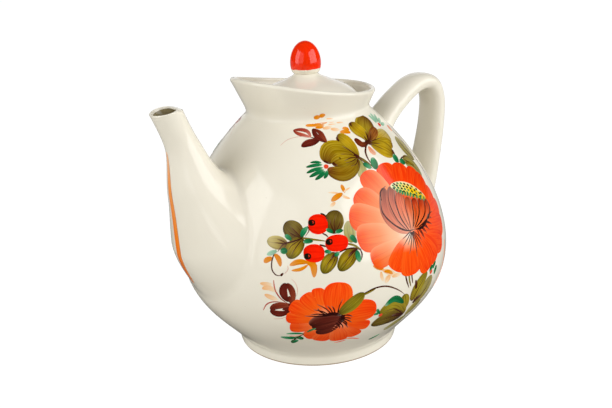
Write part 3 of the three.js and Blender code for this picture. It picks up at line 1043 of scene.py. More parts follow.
for width, path in rib_lines:
    strokes.append(brush_stroke(large_flower_place, "line", width, dark_line, path, on_ribs))
for bearing, length in (
    (-160, 8), (-143, 10), (-128, 8), (-114, 12), (-101, 9), (-89, 14), (-77, 10), (-64, 12), (-50, 9),
):
    start = np.array([2.0, 0.9]) + 1.2 * towards(bearing)
    end = start + length * towards(bearing)
    strokes.append(brush_stroke(
        large_flower_place, "line", 0.8, dark_line, [start, (start + end) / 2 + (0.4, 0.1), end], on_ribs
    ))
for i in range(12):
    start = np.array([6.5 + 1.25 * i, -0.6 + 0.035 * i * i])
    end = start + (4.2 + 1.5 * (i % 3)) * towards(-76 + 6.2 * i + (8 if i % 2 else -7))
    strokes.append(brush_stroke(
        large_flower_place, "line", 0.75, dark_line, [start, (start + end) / 2 + (0.2, 0.2), end], on_ribs
    ))
strokes.append(brush_stroke(
    large_flower_place, "leaf", 1.9, dark_line, [(5, 0.2), (11, -0.4), (17, 1.4), (21.5, 4.4)], on_ribs
))
strokes.append(brush_stroke(
    large_flower_place, "line", 1.1, dark_line, [(-9, 6.2), (-5, 3.0), (0, 1.0), (6, 0.4)], on_ribs
))
pod_enamel = brushed_enamel(
    "red_brown_overglaze_enamel", 1.3, streak="#F09468", thin=0.4, shade=0.3, roughness=0.12
)
painted_piece("large_flower_pod", strokes, pod_enamel)

seed_cap = paint(
    (0, "#EDE7C4", 1), (0.35, "#F0E27A", 1), (0.6, "#F4CE10", 1), (1, "#E2B400", 1),
    left=("#F2EEDC", 0.8), right=("#2E8A36", 0.5),
)
black = paint((0, "#16140C", 1), (1, "#16140C", 1))
green = paint((0, "#0A5A30", 1), (0.5, "#12804A", 1), (1, "#2E9A64", 0.9))
cap_line = [(-2.2, 26.6), (5, 24.3), (13.5, 20), (24.6, 12.2)]


def beside_cap(t, offset):
    """A spot on the seed cap at a share of its length, so far left of its middle line."""
    t = np.float64(t)
    return through(cap_line, t) + offset * crosswise(along_at(cap_line, t))


strokes = [brush_stroke(large_flower_place, "leaf", 7.4, seed_cap, cap_line, on_ribs + 1)]
for row, offset in enumerate((-2.2, -0.7, 0.8, 2.3)):
    for i in range(8):
        t = 0.12 + 0.1 * i + 0.035 * (row % 2)
        room = 1 - abs(2 * t - 1) ** 2.5
        spot = beside_cap(t, offset * room)
        load = black if (row > 1 and i > 2) or (row + i) % 3 == 0 else green
        strokes.append(brush_stroke(
            large_flower_place, "round", 1.35, load, [spot - (0.7, -0.6), spot + (0.7, -0.6)], on_ribs + 2
        ))
for i in range(10):
    t = 0.2 + 0.08 * i
    spot = beside_cap(t, -3.4 * (1 - abs(2 * t - 1) ** 2.2))
    strokes.append(brush_stroke(
        large_flower_place, "dab", 1.8, green, [spot + (0.7, 1.1), spot - (0.5, 1.2)], on_ribs + 2
    ))
seed_enamel = brushed_enamel(
    "yellow_overglaze_enamel", 1.5, streak="#FFF0A0", thin=0.2, shade=0.1, roughness=0.12
)
painted_piece("large_flower_seeds", strokes, seed_enamel)

# Small flower: the lower bloom, half turned away. Its petals are drawn like the large ones, round a
# dark pod of three broad strokes, with fine stamens and one olive leaf laid across it.
small_flower_place = (-122, 45)
broad_brush = 15
red_petal = paint(
    (0, "#FF8A30", 0.9), (0.3, "#FF5408", 1), (1, "#FF3800", 1), left=("#F42C00", 0.5),
    right=("#FF7018", 0.45),
)
side_petal = paint(
    (0, "#FFA050", 0.7), (0.35, "#FF6412", 1), (0.7, "#FF4806", 1), (1, "#FC3800", 1),
    left=("#F43000", 0.5), right=("#FF8030", 0.5),
)
under_petal = paint(
    (0, "#FFB080", 0.6), (0.35, "#FF6820", 0.97), (0.7, "#FC500E", 1), (1, "#F84206", 1),
    left=("#F23A04", 0.5), right=("#FF8648", 0.5),
)
dark_pod = paint(
    (0, "#6E2C22", 1), (0.3, "#66241A", 1), (0.8, "#561A12", 1), (1, "#34100A", 1),
    left=("#300C08", 0.6), right=("#A86454", 0.6),
)
olive = paint(
    (0, "#54420E", 1), (0.25, "#756A18", 1), (0.6, "#8A7C12", 1), (1, "#5E5210", 1),
    left=("#4A3E0E", 0.6), right=("#AA9C28", 0.4),
)
small_petals = [
    (9.5, under_petal, [(-0.9, -4.8), (-12.3, -7.1), (-20.3, -6.9)]),
    (8.5, side_petal, [(0, -2.1), (-13.1, -0.3), (-22.2, 0.4)]),
    (9.5, side_petal, [(-0.9, -1.3), (-12.1, 5.0), (-19.2, 9.5)]),
    (9.0, side_petal, [(0, 0), (-7.3, 8.8), (-12.0, 15.2)]),
    (7.0, side_petal, [(0.9, 1.1), (-4.0, 11.8), (-4.5, 18.6)]),
    (9.0, red_petal, [(4.7, -2.7), (15.7, -9.0), (23.4, -11.4)]),
    (15.5, red_petal, [(4.7, -1.3), (15.4, 1.3), (27.0, 0.6)]),
    (16.0, red_petal, [(3.3, -0.4), (5.3, 11.0), (6.3, 20.8)]),
    (9.5, under_petal, [(4.3, -3.3), (10.9, -13.0), (16.8, -20.9)]),
    (9.5, under_petal, [(1.0, -5.1), (-5.1, -12.8), (-12.6, -16.2)]),
    (10.5, under_petal, [(1.9, -4.4), (-0.8, -13.3), (-5.0, -22.4)]),
    (10.5, under_petal, [(2.8, -3.1), (5.5, -13.6), (6.5, -24.8)]),
]
strokes = []
for layer, (width, load, path) in enumerate(small_petals):
    shape = "broad" if width > broad_brush else "petal"
    strokes.append(brush_stroke(small_flower_place, shape, width, load, path, first_petal + layer))
for width, load, path in (
    (1.2, under_petal, [(9.4, -23.6), (14.6, -24.7), (18.8, -28.1)]),
    (1.2, under_petal, [(4.1, -27.7), (7.6, -26.6), (10.6, -25.6)]),
):
    strokes.append(brush_stroke(small_flower_place, "line", width, load, path, first_petal))
painted_piece("small_flower_petals", strokes, red_enamel)
on_petals = first_petal + len(small_petals)
strokes = [
    brush_stroke(small_flower_place, "lobe", width, dark_pod, path, on_petals + layer)
    for layer, (width, path) in enumerate([
        (7.0, [(7.3, -3.3), (2.5, -8.2), (-2.5, -11.2), (-6.4, -11.6)]),
        (8.6, [(7.4, -2.2), (1, -4.6), (-4, -6.0), (-8.4, -7.2)]),
        (8.2, [(7.4, -0.9), (1.5, -0.9), (-4.5, -1.9), (-9.5, -5.2)]),
    ])
]
for width, path in (
    (0.8, [(5.7, 2.6), (6.0, 6.6), (8.2, 11.4)]), (0.9, [(0.9, 1.9), (-2.8, 4.5), (-7.4, 6.0)]),
    (0.8, [(1.9, 2.4), (-0.9, 6.1), (-5.4, 9.2)]), (0.9, [(2.8, 2.4), (1.5, 5.5), (-0.4, 8.3)]),
    (1.0, [(0.5, 1.6), (-4.7, 2.9), (-9.3, 2.5)]), (0.9, [(3.8, 2.3), (3.3, 5.7), (2.0, 7.6)]),
    (1.0, [(0, 1.2), (-5.6, 1.4), (-12.1, 1.9)]), (1.0, [(5.6, 1.2), (9.5, 3.0), (11.9, 3.2)]),
    (1.1, [(5.9, 0.3), (10.5, 0.4), (13.4, -1.2)]), (1.1, [(5.9, -1.0), (10.0, -3.0), (13.1, -5.9)]),
    (1.0, [(5.6, -2.3), (9.1, -5.7), (11.0, -10.3)]), (0.9, [(5.2, -2.9), (7.7, -7.0), (8.3, -10.5)]),
    (0.9, [(4.2, -4.2), (6.3, -7.5), (6.1, -10.4)]), (0.9, [(6.1, 1.8), (8.5, 4.4), (9.0, 5.5)]),
    (1.0, [(6.3, -0.4), (11.0, -1.8), (12.5, -3.1)]), (1.0, [(5, 2), (5.6, 4), (5.8, 6.4)]),
    (0.9, [(-1, 2.2), (-4, 4.6), (-5.2, 6.8)]), (1.0, [(6, -1.6), (9.6, -4.6), (10.4, -7.6)]),
):
    strokes.append(brush_stroke(small_flower_place, "line", width, dark_line, path, on_petals + 3))
for width, path in ((2.6, [(-3, 1.6), (3, 2.4), (7.2, 0.6)]), (2.4, [(6.2, 1.6), (8.2, -1), (7.4, -5)])):
    strokes.append(brush_stroke(small_flower_place, "leaf", width, dark_line, path, on_petals + 3))
painted_piece("small_flower_pod", strokes, pod_enamel)
strokes = [
    brush_stroke(small_flower_place, "leaf", width, load, path, on_petals + 4)
    for width, load, path in (
        (7.6, olive, [(6.2, 1.9), (12.9, 7.1), (19.8, 12.9)]),
        (1.8, green, [(-11.2, -11.6), (-8.6, -9.4), (-6.2, -8.0)]),
    )
]
olive_enamel = brushed_enamel(
    "olive_green_overglaze_enamel", 1.4, streak="#C8BE40", thin=0.4, shade=0.42, roughness=0.13
)
painted_piece("small_flower_leaf", strokes, olive_enamel)

# Berries: three round drops of the reddest enamel, each with a black eye and a red glint painted in
# the eye. They lie over their stems and leaves.
berry_place = (-123, 87)
berry_red = paint(
    (0, "#D41200", 1), (0.3, "#F81A00", 1), (0.7, "#FF1C00", 1), (1, "#F01800", 1),
    left=("#E01400", 0.4), right=("#D81000", 0.4),
)
berry_glint = paint((0, "#E03018", 1), (1, "#E03018", 1))
berry_enamel = brushed_enamel(
    "bright_red_overglaze_enamel", 0.9, streak="#FF3C12", thin=0.25, shade=0.14, roughness=0.1
)
strokes = []
# Each berry: its two sides, the height of its middle, its width, and its eye from the left side.
for left, right, up, size, eye_offset in (
    (-6.3, 3.9, 8.6, 10.6, (1.9, 0.9)),
    (1.8, 13.9, -1.8, 8.9, (2.1, 0.9)),
    (-9.7, 1.2, -6.2, 9.6, (2.1, -1.4)),
):
    drop = [(left, up), ((left + right) / 2, up), (right, up - 0.1)]
    eye = np.array([left, up]) + eye_offset
    glint = [eye + (0.3, 0.8), eye + (0.9, 0.2), eye + (0.5, -0.5)]
    strokes += [
        brush_stroke(berry_place, "round", size, berry_red, drop, 6),
        brush_stroke(berry_place, "round", 3.5, black, [eye - (1.9, 0), eye, eye + (1.9, 0)], 7),
        brush_stroke(berry_place, "line", 0.8, berry_glint, glint, 8),
    ]
painted_piece("berries", strokes, berry_enamel)

# Leaves: lobes of olive enamel drawn from each vein centre outwards, brown where a second colour was
# taken up on the brush. Dark veins are drawn over them with a fine brush.
olive_to_brown = paint(
    (0, "#5E4610", 1), (0.25, "#8E6E06", 1), (0.6, "#A48406", 1), (0.84, "#825A0A", 1),
    (1, "#4A1E10", 1), left=("#523A0C", 0.65), right=("#C8A412", 0.5),
)
gold_to_brown = paint(
    (0, "#6A5010", 1), (0.25, "#A4820A", 1), (0.6, "#C09A0C", 1), (0.84, "#96700E", 1),
    (1, "#4A1E10", 1), left=("#6E5408", 0.6), right=("#D4B01C", 0.5),
)
umber_olive = paint(
    (0, "#6A4E0C", 1), (0.35, "#8E6C04", 1), (0.7, "#8A6004", 1), (0.9, "#6E3C0C", 1),
    (1, "#4A1E10", 1), left=("#4E340A", 0.5), right=("#A88210", 0.5),
)
gold_and_pale = paint(
    (0, "#8A6C10", 1), (0.45, "#BE981C", 1), (0.8, "#BEA044", 0.95), (1, "#9C883A", 0.9),
    left=("#D2C88C", 0.6), right=("#B08A0C", 0.6),
)
brown_edged_olive = paint(
    (0, "#6A5410", 1), (0.4, "#9C820C", 1), (0.7, "#8C6A16", 1), (0.88, "#704818", 1),
    (1, "#4E2A14", 1), left=("#B29A1C", 0.4), right=("#5E3418", 0.85),
)
pale_olive = paint(
    (0, "#7E7A22", 0.95), (0.5, "#A49C40", 0.86), (1, "#989040", 0.76), left=("#747028", 0.4),
    right=("#C0BA70", 0.5),
)
brown_olive = paint(
    (0, "#2E140A", 1), (0.3, "#5A3E14", 1), (0.65, "#6E5A1E", 1), (0.9, "#5A4418", 1),
    (1, "#3E2A10", 1), left=("#33200E", 0.65), right=("#8A742C", 0.45),
)
fawn_olive = paint(
    (0, "#3E1E10", 1), (0.25, "#7A5A26", 1), (0.5, "#AA9248", 0.95), (0.8, "#C0AC68", 0.9),
    (1, "#8A7A3A", 0.9), left=("#5E4A1A", 0.6), right=("#D4C68A", 0.5),
)
bright_olive = paint(
    (0, "#34180C", 1), (0.25, "#7E640E", 1), (0.55, "#A88C12", 1), (0.85, "#6E5E10", 1),
    (1, "#3E360E", 1), left=("#3E360C", 0.8), right=("#4E420E", 0.6),
)
gold_olive = paint(
    (0, "#5E3A14", 1), (0.2, "#8A741A", 1), (0.6, "#98861C", 1), (0.9, "#7A6C18", 1), (1, "#5A4E14", 1),
    left=("#5A4410", 0.6), right=("#B8A43C", 0.4),
)
grey_olive = paint(
    (0, "#7A6A34", 1), (0.5, "#A0924E", 1), (1, "#8A7E40", 0.9), left=("#5E5228", 0.6),
    right=("#C0B47A", 0.5),
)
rust = paint(
    (0, "#5A2E10", 1), (0.5, "#94501E", 1), (1, "#7A3418", 1), left=("#5A2410", 0.5),
    right=("#A86A30", 0.4),
)
red_brown = paint(
    (0, "#34100C", 1), (0.5, "#7A2A16", 1), (1, "#561610", 1), left=("#4A140E", 0.5),
    right=("#9A4020", 0.4),
)
salmon = paint((0, "#F07840", 0.9), (1, "#F49A78", 0.7))
brown = paint((0, "#3E120C", 1), (0.6, "#52200F", 1), (1, "#5A2814", 0.9))
stem = paint(
    (0, "#5A4418", 1), (0.5, "#8A7A26", 1), (1, "#6A5420", 1), left=("#3E240E", 0.7),
    right=("#B0A040", 0.3),
)
# Each cluster: its place on the pot as a bearing and a height, then its lobes, then its veins. A
# path's points are millimetres right of that place and above it.
leaf_clusters = {
    "upper_left_leaf": ((-97, 122), [
        ("lobe", 5.5, pale_olive, [(-0.2, -0.7), (-0.5, -5.9), (-3.5, -10.7)]),
        ("lobe", 12.0, olive_to_brown, [(-0.1, 0.8), (-5.1, 5.4), (-12.4, 7.1), (-19.2, 0.3)]),
        ("lobe", 7.4, gold_to_brown, [(0.3, 1.4), (-1.2, 7.3), (-3.6, 12.6), (-6.5, 15.8)]),
        ("lobe", 9.2, umber_olive, [(-0.5, 0), (-5.7, -4.2), (-13.1, -6.7), (-19.6, -4.0)]),
        ("lobe", 7.4, olive_to_brown, [(-0.2, 0.4), (-5.2, 0.9), (-10.9, 0.4), (-15.9, -1.0)]),
    ], [
        (0.9, brown, [(-0.2, 1.1), (-2.9, 5.2), (-6.6, 9.0)]),
        (0.8, brown, [(-0.5, 0.9), (-4.6, 1.3), (-8.8, 0.2)]),
        (0.7, brown, [(-0.5, 0.9), (-4.7, -0.7), (-8.5, -1.0)]),
        (0.8, brown, [(0.2, 1.5), (-2.0, 3.9), (-3.1, 5.7)]),
        (2.0, brown, [(-1.9, 3.1), (0, 1.0), (1.6, -1.8)]),
        (1.6, stem, [(0.3, 0.9), (3.1, -2.1), (6.6, -6.4)]),
        (0.9, brown, [(1.3, -1.6), (4.0, -3.8), (5.7, -7.2)]),
        (0.7, brown, [(-0.6, 0.5), (-2.7, -2.5), (-6.5, -3.4)]),
        (0.6, brown, [(-0.6, 0.5), (-1.6, -2.6), (-1.8, -5.6)]),
        (0.6, brown, [(-0.4, 1.2), (-4.9, 3.6), (-9.6, 4.2)]),
        (1.5, brown, [(-7.0, 11.9), (-7.4, 13.6), (-6.6, 15.0)]),
        (1.3, brown, [(-19.4, 1.6), (-18.4, 0.6), (-17.0, 0.3)]),
        (1.5, brown, [(-15.2, 0.2), (-14.6, -1.0), (-13.4, -2.0)]),
        (1.7, rust, [(-19.4, -4.4), (-18.0, -3.2), (-16.0, -2.6)]),
    ]),
    "upper_right_leaf": ((-84.5, 128), [
        ("lobe", 12.4, gold_and_pale, [(1.0, -0.4), (8.5, -0.5), (15.0, -0.4), (20.8, 0.9)]),
        ("lobe", 14.0, brown_edged_olive, [(0.7, 0.9), (2.7, 6.4), (5.9, 10.9), (10.2, 15.4)]),
        ("lobe", 8.6, gold_to_brown, [(0.7, 0.5), (-0.2, 5.4), (-2.3, 9.8), (-3.0, 14.6)]),
        ("lobe", 7.6, gold_to_brown, [(0.6, -0.6), (9.0, -2.5), (14.9, -4.4), (17.8, -6.9)]),
        ("lobe", 10.7, gold_to_brown, [(0.6, -0.6), (5.3, -4.0), (9.8, -7.2), (13.9, -10.9)]),
        ("lobe", 6.2, rust, [(1.1, 0.6), (6.4, 3.9), (12.6, 6.4)]),
        ("lobe", 4.2, red_brown, [(-0.7, -0.1), (-5.3, -0.1), (-7.1, 4.3)]),
        ("lobe", 3.4, salmon, [(-1.6, -2.1), (-1.4, -5.3), (0.2, -7.7)]),
    ], [
        (0.9, brown, [(0, 0.2), (1.9, 4.9), (2.3, 7.4)]),
        (0.8, brown, [(0.5, 0.3), (4.1, 3.5), (6.7, 5.9)]),
        (0.8, brown, [(0.6, -0.3), (4.8, -1.8), (7.6, -2.7)]),
        (0.7, brown, [(1.0, 0.2), (6.1, 0.4), (10.3, 0.2)]),
        (2.4, brown, [(-2.2, 1.2), (-0.3, -0.1), (1.4, -2.0)]),
        (1.0, brown, [(-0.2, 0.3), (-0.5, 2.9), (-0.3, 4.6)]),
        (1.8, brown, [(-1.2, 0.7), (0.9, 0.6), (2.9, 0.2)]),
        (1.2, brown, [(-4.4, 11.6), (-4.2, 13.4), (-2.6, 14.6)]),
        (1.2, brown, [(-2.0, -0.6), (-5.4, -4.3), (-6.5, -8.5), (-6.0, -13.4)]),
        (1.7, brown, [(14.7, -8.4), (14.7, -10.2), (14.5, -12.6)]),
        (0.6, brown, [(0.6, -0.6), (4.4, -3.8), (7.4, -6.4)]),
        (0.6, brown, [(0.4, 0.6), (2.8, 5.4), (4.9, 8.4)]),
    ]),
    "edge_leaf": ((-58, 115), [
        ("leaf", 11.0, grey_olive, [(8.2, -4.4), (5.6, 5.0), (4.6, 13.2)]),
        ("leaf", 11.0, grey_olive, [(-6.4, 1.0), (-0.6, -5.0), (4.3, -14.0)]),
        ("leaf", 2.6, bright_olive, [(-6.7, -1.9), (-2.2, -3.3), (1.6, -6.0)]),
    ], [
        (1.0, brown, [(9.8, 17.0), (12.1, 3.4), (14.5, -10.0), (13.1, -19.5)]),
        (0.8, brown, [(7.6, -3.0), (5.6, 5.0), (4.8, 10.6)]),
        (0.8, brown, [(-5.6, 0.2), (-0.6, -5.2), (3.4, -11.6)]),
        (1.0, brown, [(-11.6, 0.4), (-5.9, 1.7), (-0.2, 0.6)]),
    ]),
    "berry_leaf": ((-123, 87), [
        ("leaf", 6.6, pale_olive, [(15.8, -2.6), (15.0, 3.2), (14.5, 8.9)]),
        ("leaf", 10.6, brown_olive, [(7.3, 3.0), (7.2, 9.3), (9.5, 14.8)]),
        ("leaf", 10.4, brown_olive, [(-9.6, 1.6), (-14.1, 5.7), (-17.9, 10.0)]),
        ("leaf", 7.4, fawn_olive, [(-17.4, -1.3), (-22.9, -0.7), (-28.6, -0.3)]),
        ("leaf", 8.4, bright_olive, [(-9.4, 1.7), (-14.0, -3.1), (-17.5, -8.6)]),
        ("leaf", 7.8, bright_olive, [(7.2, -6.8), (3.2, -11.3), (-0.3, -16.9)]),
        ("leaf", 8.6, bright_olive, [(18.2, -6.2), (12.9, -10.7), (8.3, -16.2)]),
    ], [
        (1.0, brown, [(-9.6, 1.7), (-15.1, -0.1), (-19.7, -1.4), (-23.2, -5.6)]),
        (1.2, stem, [(-10.0, 1.9), (-5.2, 1.1), (2.6, -0.4)]),
        (1.0, brown, [(-1.2, -1.9), (1.1, -2.7), (3.2, -3.5)]),
        (0.9, brown, [(0.7, 3.8), (2.4, 2.8), (3.8, 1.4)]),
        (1.1, brown, [(0.4, 14.1), (2.8, 12.6), (3.7, 9.4)]),
        (1.2, stem, [(13.4, -2.8), (16.7, -4.0), (20.6, -6.8)]),
        (1.0, brown, [(8.7, -6.7), (12.8, -5.4), (18.0, -5.7), (20.5, -7.5)]),
        (0.9, brown, [(20.0, -6.4), (20.9, -9.5), (20.1, -12.4)]),
        (0.8, brown, [(-9.3, 4.7), (-6.9, 7.6), (-6.0, 5.6), (-8.3, 2.4)]),
        (0.7, brown, [(7.4, 4.0), (7.0, 8.4), (8.4, 12.4)]),
        (0.6, brown, [(7.2, 4.0), (5.4, 7.6), (5.2, 10.6)]),
        (0.6, brown, [(7.8, 4.0), (9.8, 7.4), (10.8, 10.6)]),
        (0.7, brown, [(-10.4, 2.4), (-13.4, 5.6), (-15.9, 8.2)]),
        (0.6, brown, [(-10.6, 1.8), (-14.6, 3.8), (-17.5, 5.8)]),
        (0.8, brown, [(-18.0, -1.3), (-21.4, -0.9), (-24.6, -0.8)]),
        (0.7, brown, [(-18.0, -1.0), (-20.4, 0.4), (-23.0, 1.0)]),
        (0.7, brown, [(-10.4, 0.6), (-13.4, -3.1), (-15.9, -6.6)]),
        (0.6, brown, [(-11.0, 0.8), (-15.4, -2.0), (-17.7, -5.0)]),
        (1.6, brown, [(8.3, -6.7), (6.2, -7.6), (4.2, -9.6)]),
        (0.7, brown, [(6.4, -7.8), (3.2, -11.0), (1.2, -14.2)]),
        (0.6, brown, [(6.8, -7.4), (5.8, -11.0), (3.2, -14.8)]),
        (1.6, brown, [(18.6, -6.4), (15.8, -7.2), (13.2, -9.4)]),
        (0.7, brown, [(16.8, -7.4), (12.9, -10.8), (10.3, -14.0)]),
        (0.6, brown, [(17.2, -7.4), (15.4, -11.4), (12.3, -14.8)]),
    ]),
    "lower_leaf": ((-88.5, 48), [
        ("leaf", 8.0, pale_olive, [(9.8, -20.0), (3.0, -24.9), (-2.4, -29.5)]),
        ("leaf", 9.0, grey_olive, [(18.3, -9.9), (12.6, -13.5), (8.5, -19.2)]),
        ("leaf", 12.0, grey_olive, [(12.0, -9.4), (18.5, -2.9), (24.4, 4.6)]),
        ("leaf", 9.4, gold_olive, [(7.8, -6.4), (10.1, 1.7), (18.3, 9.2)]),
        ("leaf", 7.2, gold_olive, [(3.9, -10.4), (1.1, -3.7), (-0.8, 1.6)]),
        ("leaf", 11.5, gold_olive, [(5.2, -15.8), (-6.6, -5.4), (-15.6, -6.8)]),
        ("leaf", 12.5, brown_olive, [(4.4, -17.0), (-7.0, -13.6), (-17.6, -15.4)]),
    ], [
        (1.0, brown, [(-27.8, 8.9), (-20.8, 11.0), (-13.4, 10.4), (-6.1, 6.4), (-0.2, 1.4)]),
        (1.2, stem, [(-27.8, 8.4), (-24.5, 9.2), (-20.1, 10.6)]),
        (1.2, brown, [(-0.9, 14.8), (0.3, 9.5), (2.5, 4.5)]),
        (1.2, brown, [(4.1, 14.4), (4.3, 10.4), (5.3, 6.4)]),
        (1.3, stem, [(2.0, 14.4), (2.3, 9.7), (3.9, 5.0)]),
        (2.4, brown, [(8.6, 1.8), (8.3, 5.0), (7.4, 7.8)]),
        (3.0, brown, [(9.6, -9.0), (11.4, -6.6), (15.4, -5.4)]),
        (0.8, brown, [(12.8, -8.2), (18.5, -3.2), (23.0, 2.6)]),
        (0.8, brown, [(8.4, -5.0), (11.2, 1.4), (17.0, 7.4)]),
        (0.9, brown, [(4.4, -15.4), (-5.4, -6.8), (-12.6, -6.6)]),
        (3.0, brown, [(5.0, -16.4), (-0.6, -13.6), (-5.4, -12.0)]),
        (0.8, brown, [(-2.0, -13.6), (-8.0, -13.4), (-14.4, -14.6)]),
        (0.9, stem, [(9.4, -18.6), (2.4, -22.6), (-4.0, -26.6)]),
    ]),
}
for name, (place, lobes, veins) in leaf_clusters.items():
    strokes = [
        brush_stroke(place, shape, width, load, path, layer - 2)
        for layer, (shape, width, load, path) in enumerate(lobes)
    ]
    strokes += [brush_stroke(place, "line", width, load, path, 6) for width, load, path in veins]
    painted_piece(name, strokes, olive_enamel)

# Leaflets: small leaves and fans of dark and pale green, single touches of a pointed brush, each fan
# round a red dot. They fill the gaps where the stems meet.
deep_green = paint(
    (0, "#6AB286", 0.7), (0.2, "#178048", 1), (1, "#075428", 1), left=("#064820", 0.4),
    right=("#2E9A60", 0.4),
)
mint = paint((0, "#4AA07A", 0.8), (1, "#7CC8A8", 0.7))
red_dot = paint((0, "#F03010", 1), (1, "#F4381A", 1))
leaflet_groups = {
    "fan_leaflet": ((-117.5, 120.5), [
        ("leaf", 1.6, deep_green, [(-1.9, 2.4), (-4.7, 3.1), (-7.9, 2.9)]),
        ("leaf", 2.0, deep_green, [(-1.7, 1.3), (-5.6, 1.3), (-10.4, 0.4)]),
        ("leaf", 2.1, deep_green, [(-1.6, -0.3), (-5.9, -1.1), (-10.6, -2.9)]),
        ("leaf", 2.3, deep_green, [(-1.3, -1.5), (-4.8, -3.0), (-9.4, -5.2)]),
        ("leaf", 2.3, deep_green, [(-0.8, -2.3), (-3.0, -4.5), (-6.6, -6.9)]),
        ("leaf", 2.0, deep_green, [(0.3, -2.1), (-0.3, -4.4), (-1.9, -6.5)]),
        ("round", 2.6, red_dot, [(-1.1, 0.1), (0.1, 0.1), (1.4, 0.1)]),
    ]),
    "upper_leaflet": ((-97, 122), [
        ("leaf", 3.0, green, [(1.0, -3.1), (2.9, -4.5), (4.9, -6.8)]),
        ("leaf", 4.8, deep_green, [(8.5, -0.9), (8.1, -4.7), (7.7, -8.0)]),
        ("leaf", 4.4, deep_green, [(25.2, -3.2), (26.0, -5.7), (27.2, -8.6)]),
        ("leaf", 3.6, deep_green, [(28.4, -8.2), (31.2, -9.1), (33.6, -10.8)]),
    ]),
    "mint_leaflet": ((-72, 134), [
        ("leaf", 2.4, mint, [(7.6, 0.8), (7.2, 4.0), (6.0, 7.0)]),
        ("leaf", 2.4, mint, [(8.8, 1.2), (9.6, 4.4), (9.8, 7.4)]),
        ("leaf", 2.4, mint, [(10.0, 0.8), (12.2, 3.4), (14.2, 5.4)]),
        ("leaf", 2.4, mint, [(10.8, -0.2), (13.8, 1.0), (16.8, 1.8)]),
        ("leaf", 2.4, mint, [(10.9, -1.4), (14.0, -1.8), (17.1, -2.0)]),
        ("round", 2.6, red_dot, [(7.9, -0.9), (9.1, -0.9), (10.3, -0.9)]),
        ("leaf", 4.0, salmon, [(19.2, -4.5), (20.0, -6.5), (20.9, -8.7)]),
    ]),
    "berry_leaflet": ((-123, 87), [
        ("leaf", 2.8, green, [(-10.2, 2.3), (-8.9, 5.0), (-6.7, 7.5)]),
        ("leaf", 2.6, green, [(-15.4, 0.6), (-17.2, 2.4), (-18.8, 3.1)]),
        ("leaf", 2.6, deep_green, [(-9.4, -0.3), (-6.9, 0.2), (-4.3, 0.1)]),
        ("leaf", 3.4, deep_green, [(-21.6, -5.2), (-19.7, -4.8), (-17.8, -4.2)]),
        ("leaf", 2.4, mint, [(-23.4, -4.9), (-26.3, -6.1), (-29.0, -7.3)]),
        ("leaf", 2.2, deep_green, [(2.6, 5.8), (4.5, 4.9), (6.2, 3.5)]),
        ("leaf", 2.2, deep_green, [(7.4, 3.8), (9.1, 4.1), (11.6, 4.4)]),
        ("leaf", 2.1, green, [(1.1, -5.7), (2.8, -5.7), (4.7, -6.4)]),
        ("leaf", 2.2, green, [(6.0, -7.9), (7.5, -7.6), (8.5, -6.5)]),
        ("leaf", 2.9, deep_green, [(15.0, 1.4), (16.5, -0.3), (18.3, -3.0)]),
        ("leaf", 3.0, green, [(18.0, -6.7), (18.6, -9.8), (19.5, -13.1)]),
    ]),
    "lower_leaflet": ((-88.5, 48), [
        ("leaf", 4.2, deep_green, [(-13.2, -1.9), (-7.2, 1.0), (0.4, -4.6)]),
        ("leaf", 1.8, green, [(-15.2, -6.9), (-17.1, -4.2), (-17.9, -2.5)]),
        ("leaf", 1.8, green, [(-16.0, -6.9), (-17.8, -6.2), (-19.3, -6.5)]),
        ("round", 2.4, red_dot, [(-15.6, -8.2), (-14.4, -8.2), (-13.2, -8.2)]),
        ("leaf", 2.2, green, [(-8.6, -37.3), (-5.6, -36.5), (-2.5, -34.2)]),
        ("leaf", 3.0, deep_green, [(21.2, 7.8), (22.4, 9.4), (23.8, 11.2)]),
        ("leaf", 3.0, deep_green, [(24.4, 8.6), (26.0, 10.2), (28.0, 12.0)]),
        ("leaf", 3.0, deep_green, [(27.4, 3.8), (28.4, 6.2), (29.6, 8.8)]),
        ("round", 2.8, red_dot, [(21.4, 7.0), (22.7, 7.3), (24.0, 7.7)]),
        ("line", 1.4, salmon, [(47.2, 17.8), (45.4, 8.2), (41.5, -1.6), (34.5, -8.7)]),
    ]),
    "twig_leaflet": ((-136, 29), [
        ("leaf", 1.8, green, [(5.2, 4.9), (0.4, 5.2), (-5.0, 4.2)]),
        ("leaf", 3.4, green, [(-0.1, 0.5), (-4.0, -0.7), (-9.0, -0.5)]),
        ("leaf", 4.0, deep_green, [(0.1, 2.2), (1.8, -0.1), (4.0, -0.6)]),
        ("leaf", 3.4, green, [(-3.6, -7.9), (-1.7, -4.5), (0.6, -3.2)]),
        ("line", 0.9, brown, [(4.9, 4.9), (0.1, -0.2), (-3.9, -6.5)]),
        ("line", 0.7, salmon, [(-3.6, 1.7), (1.0, 2.7), (5.3, 5.0)]),
    ]),
}
green_enamel = brushed_enamel(
    "copper_green_overglaze_enamel", 1.6, streak="#5AB88A", thin=0.3, shade=0.25, roughness=0.13
)
for name, (place, touches) in leaflet_groups.items():
    strokes = [
        brush_stroke(place, shape, width, load, path, 24 + layer // 4)
        for layer, (shape, width, load, path) in enumerate(touches)
    ]
    painted_piece(name, strokes, green_enamel)

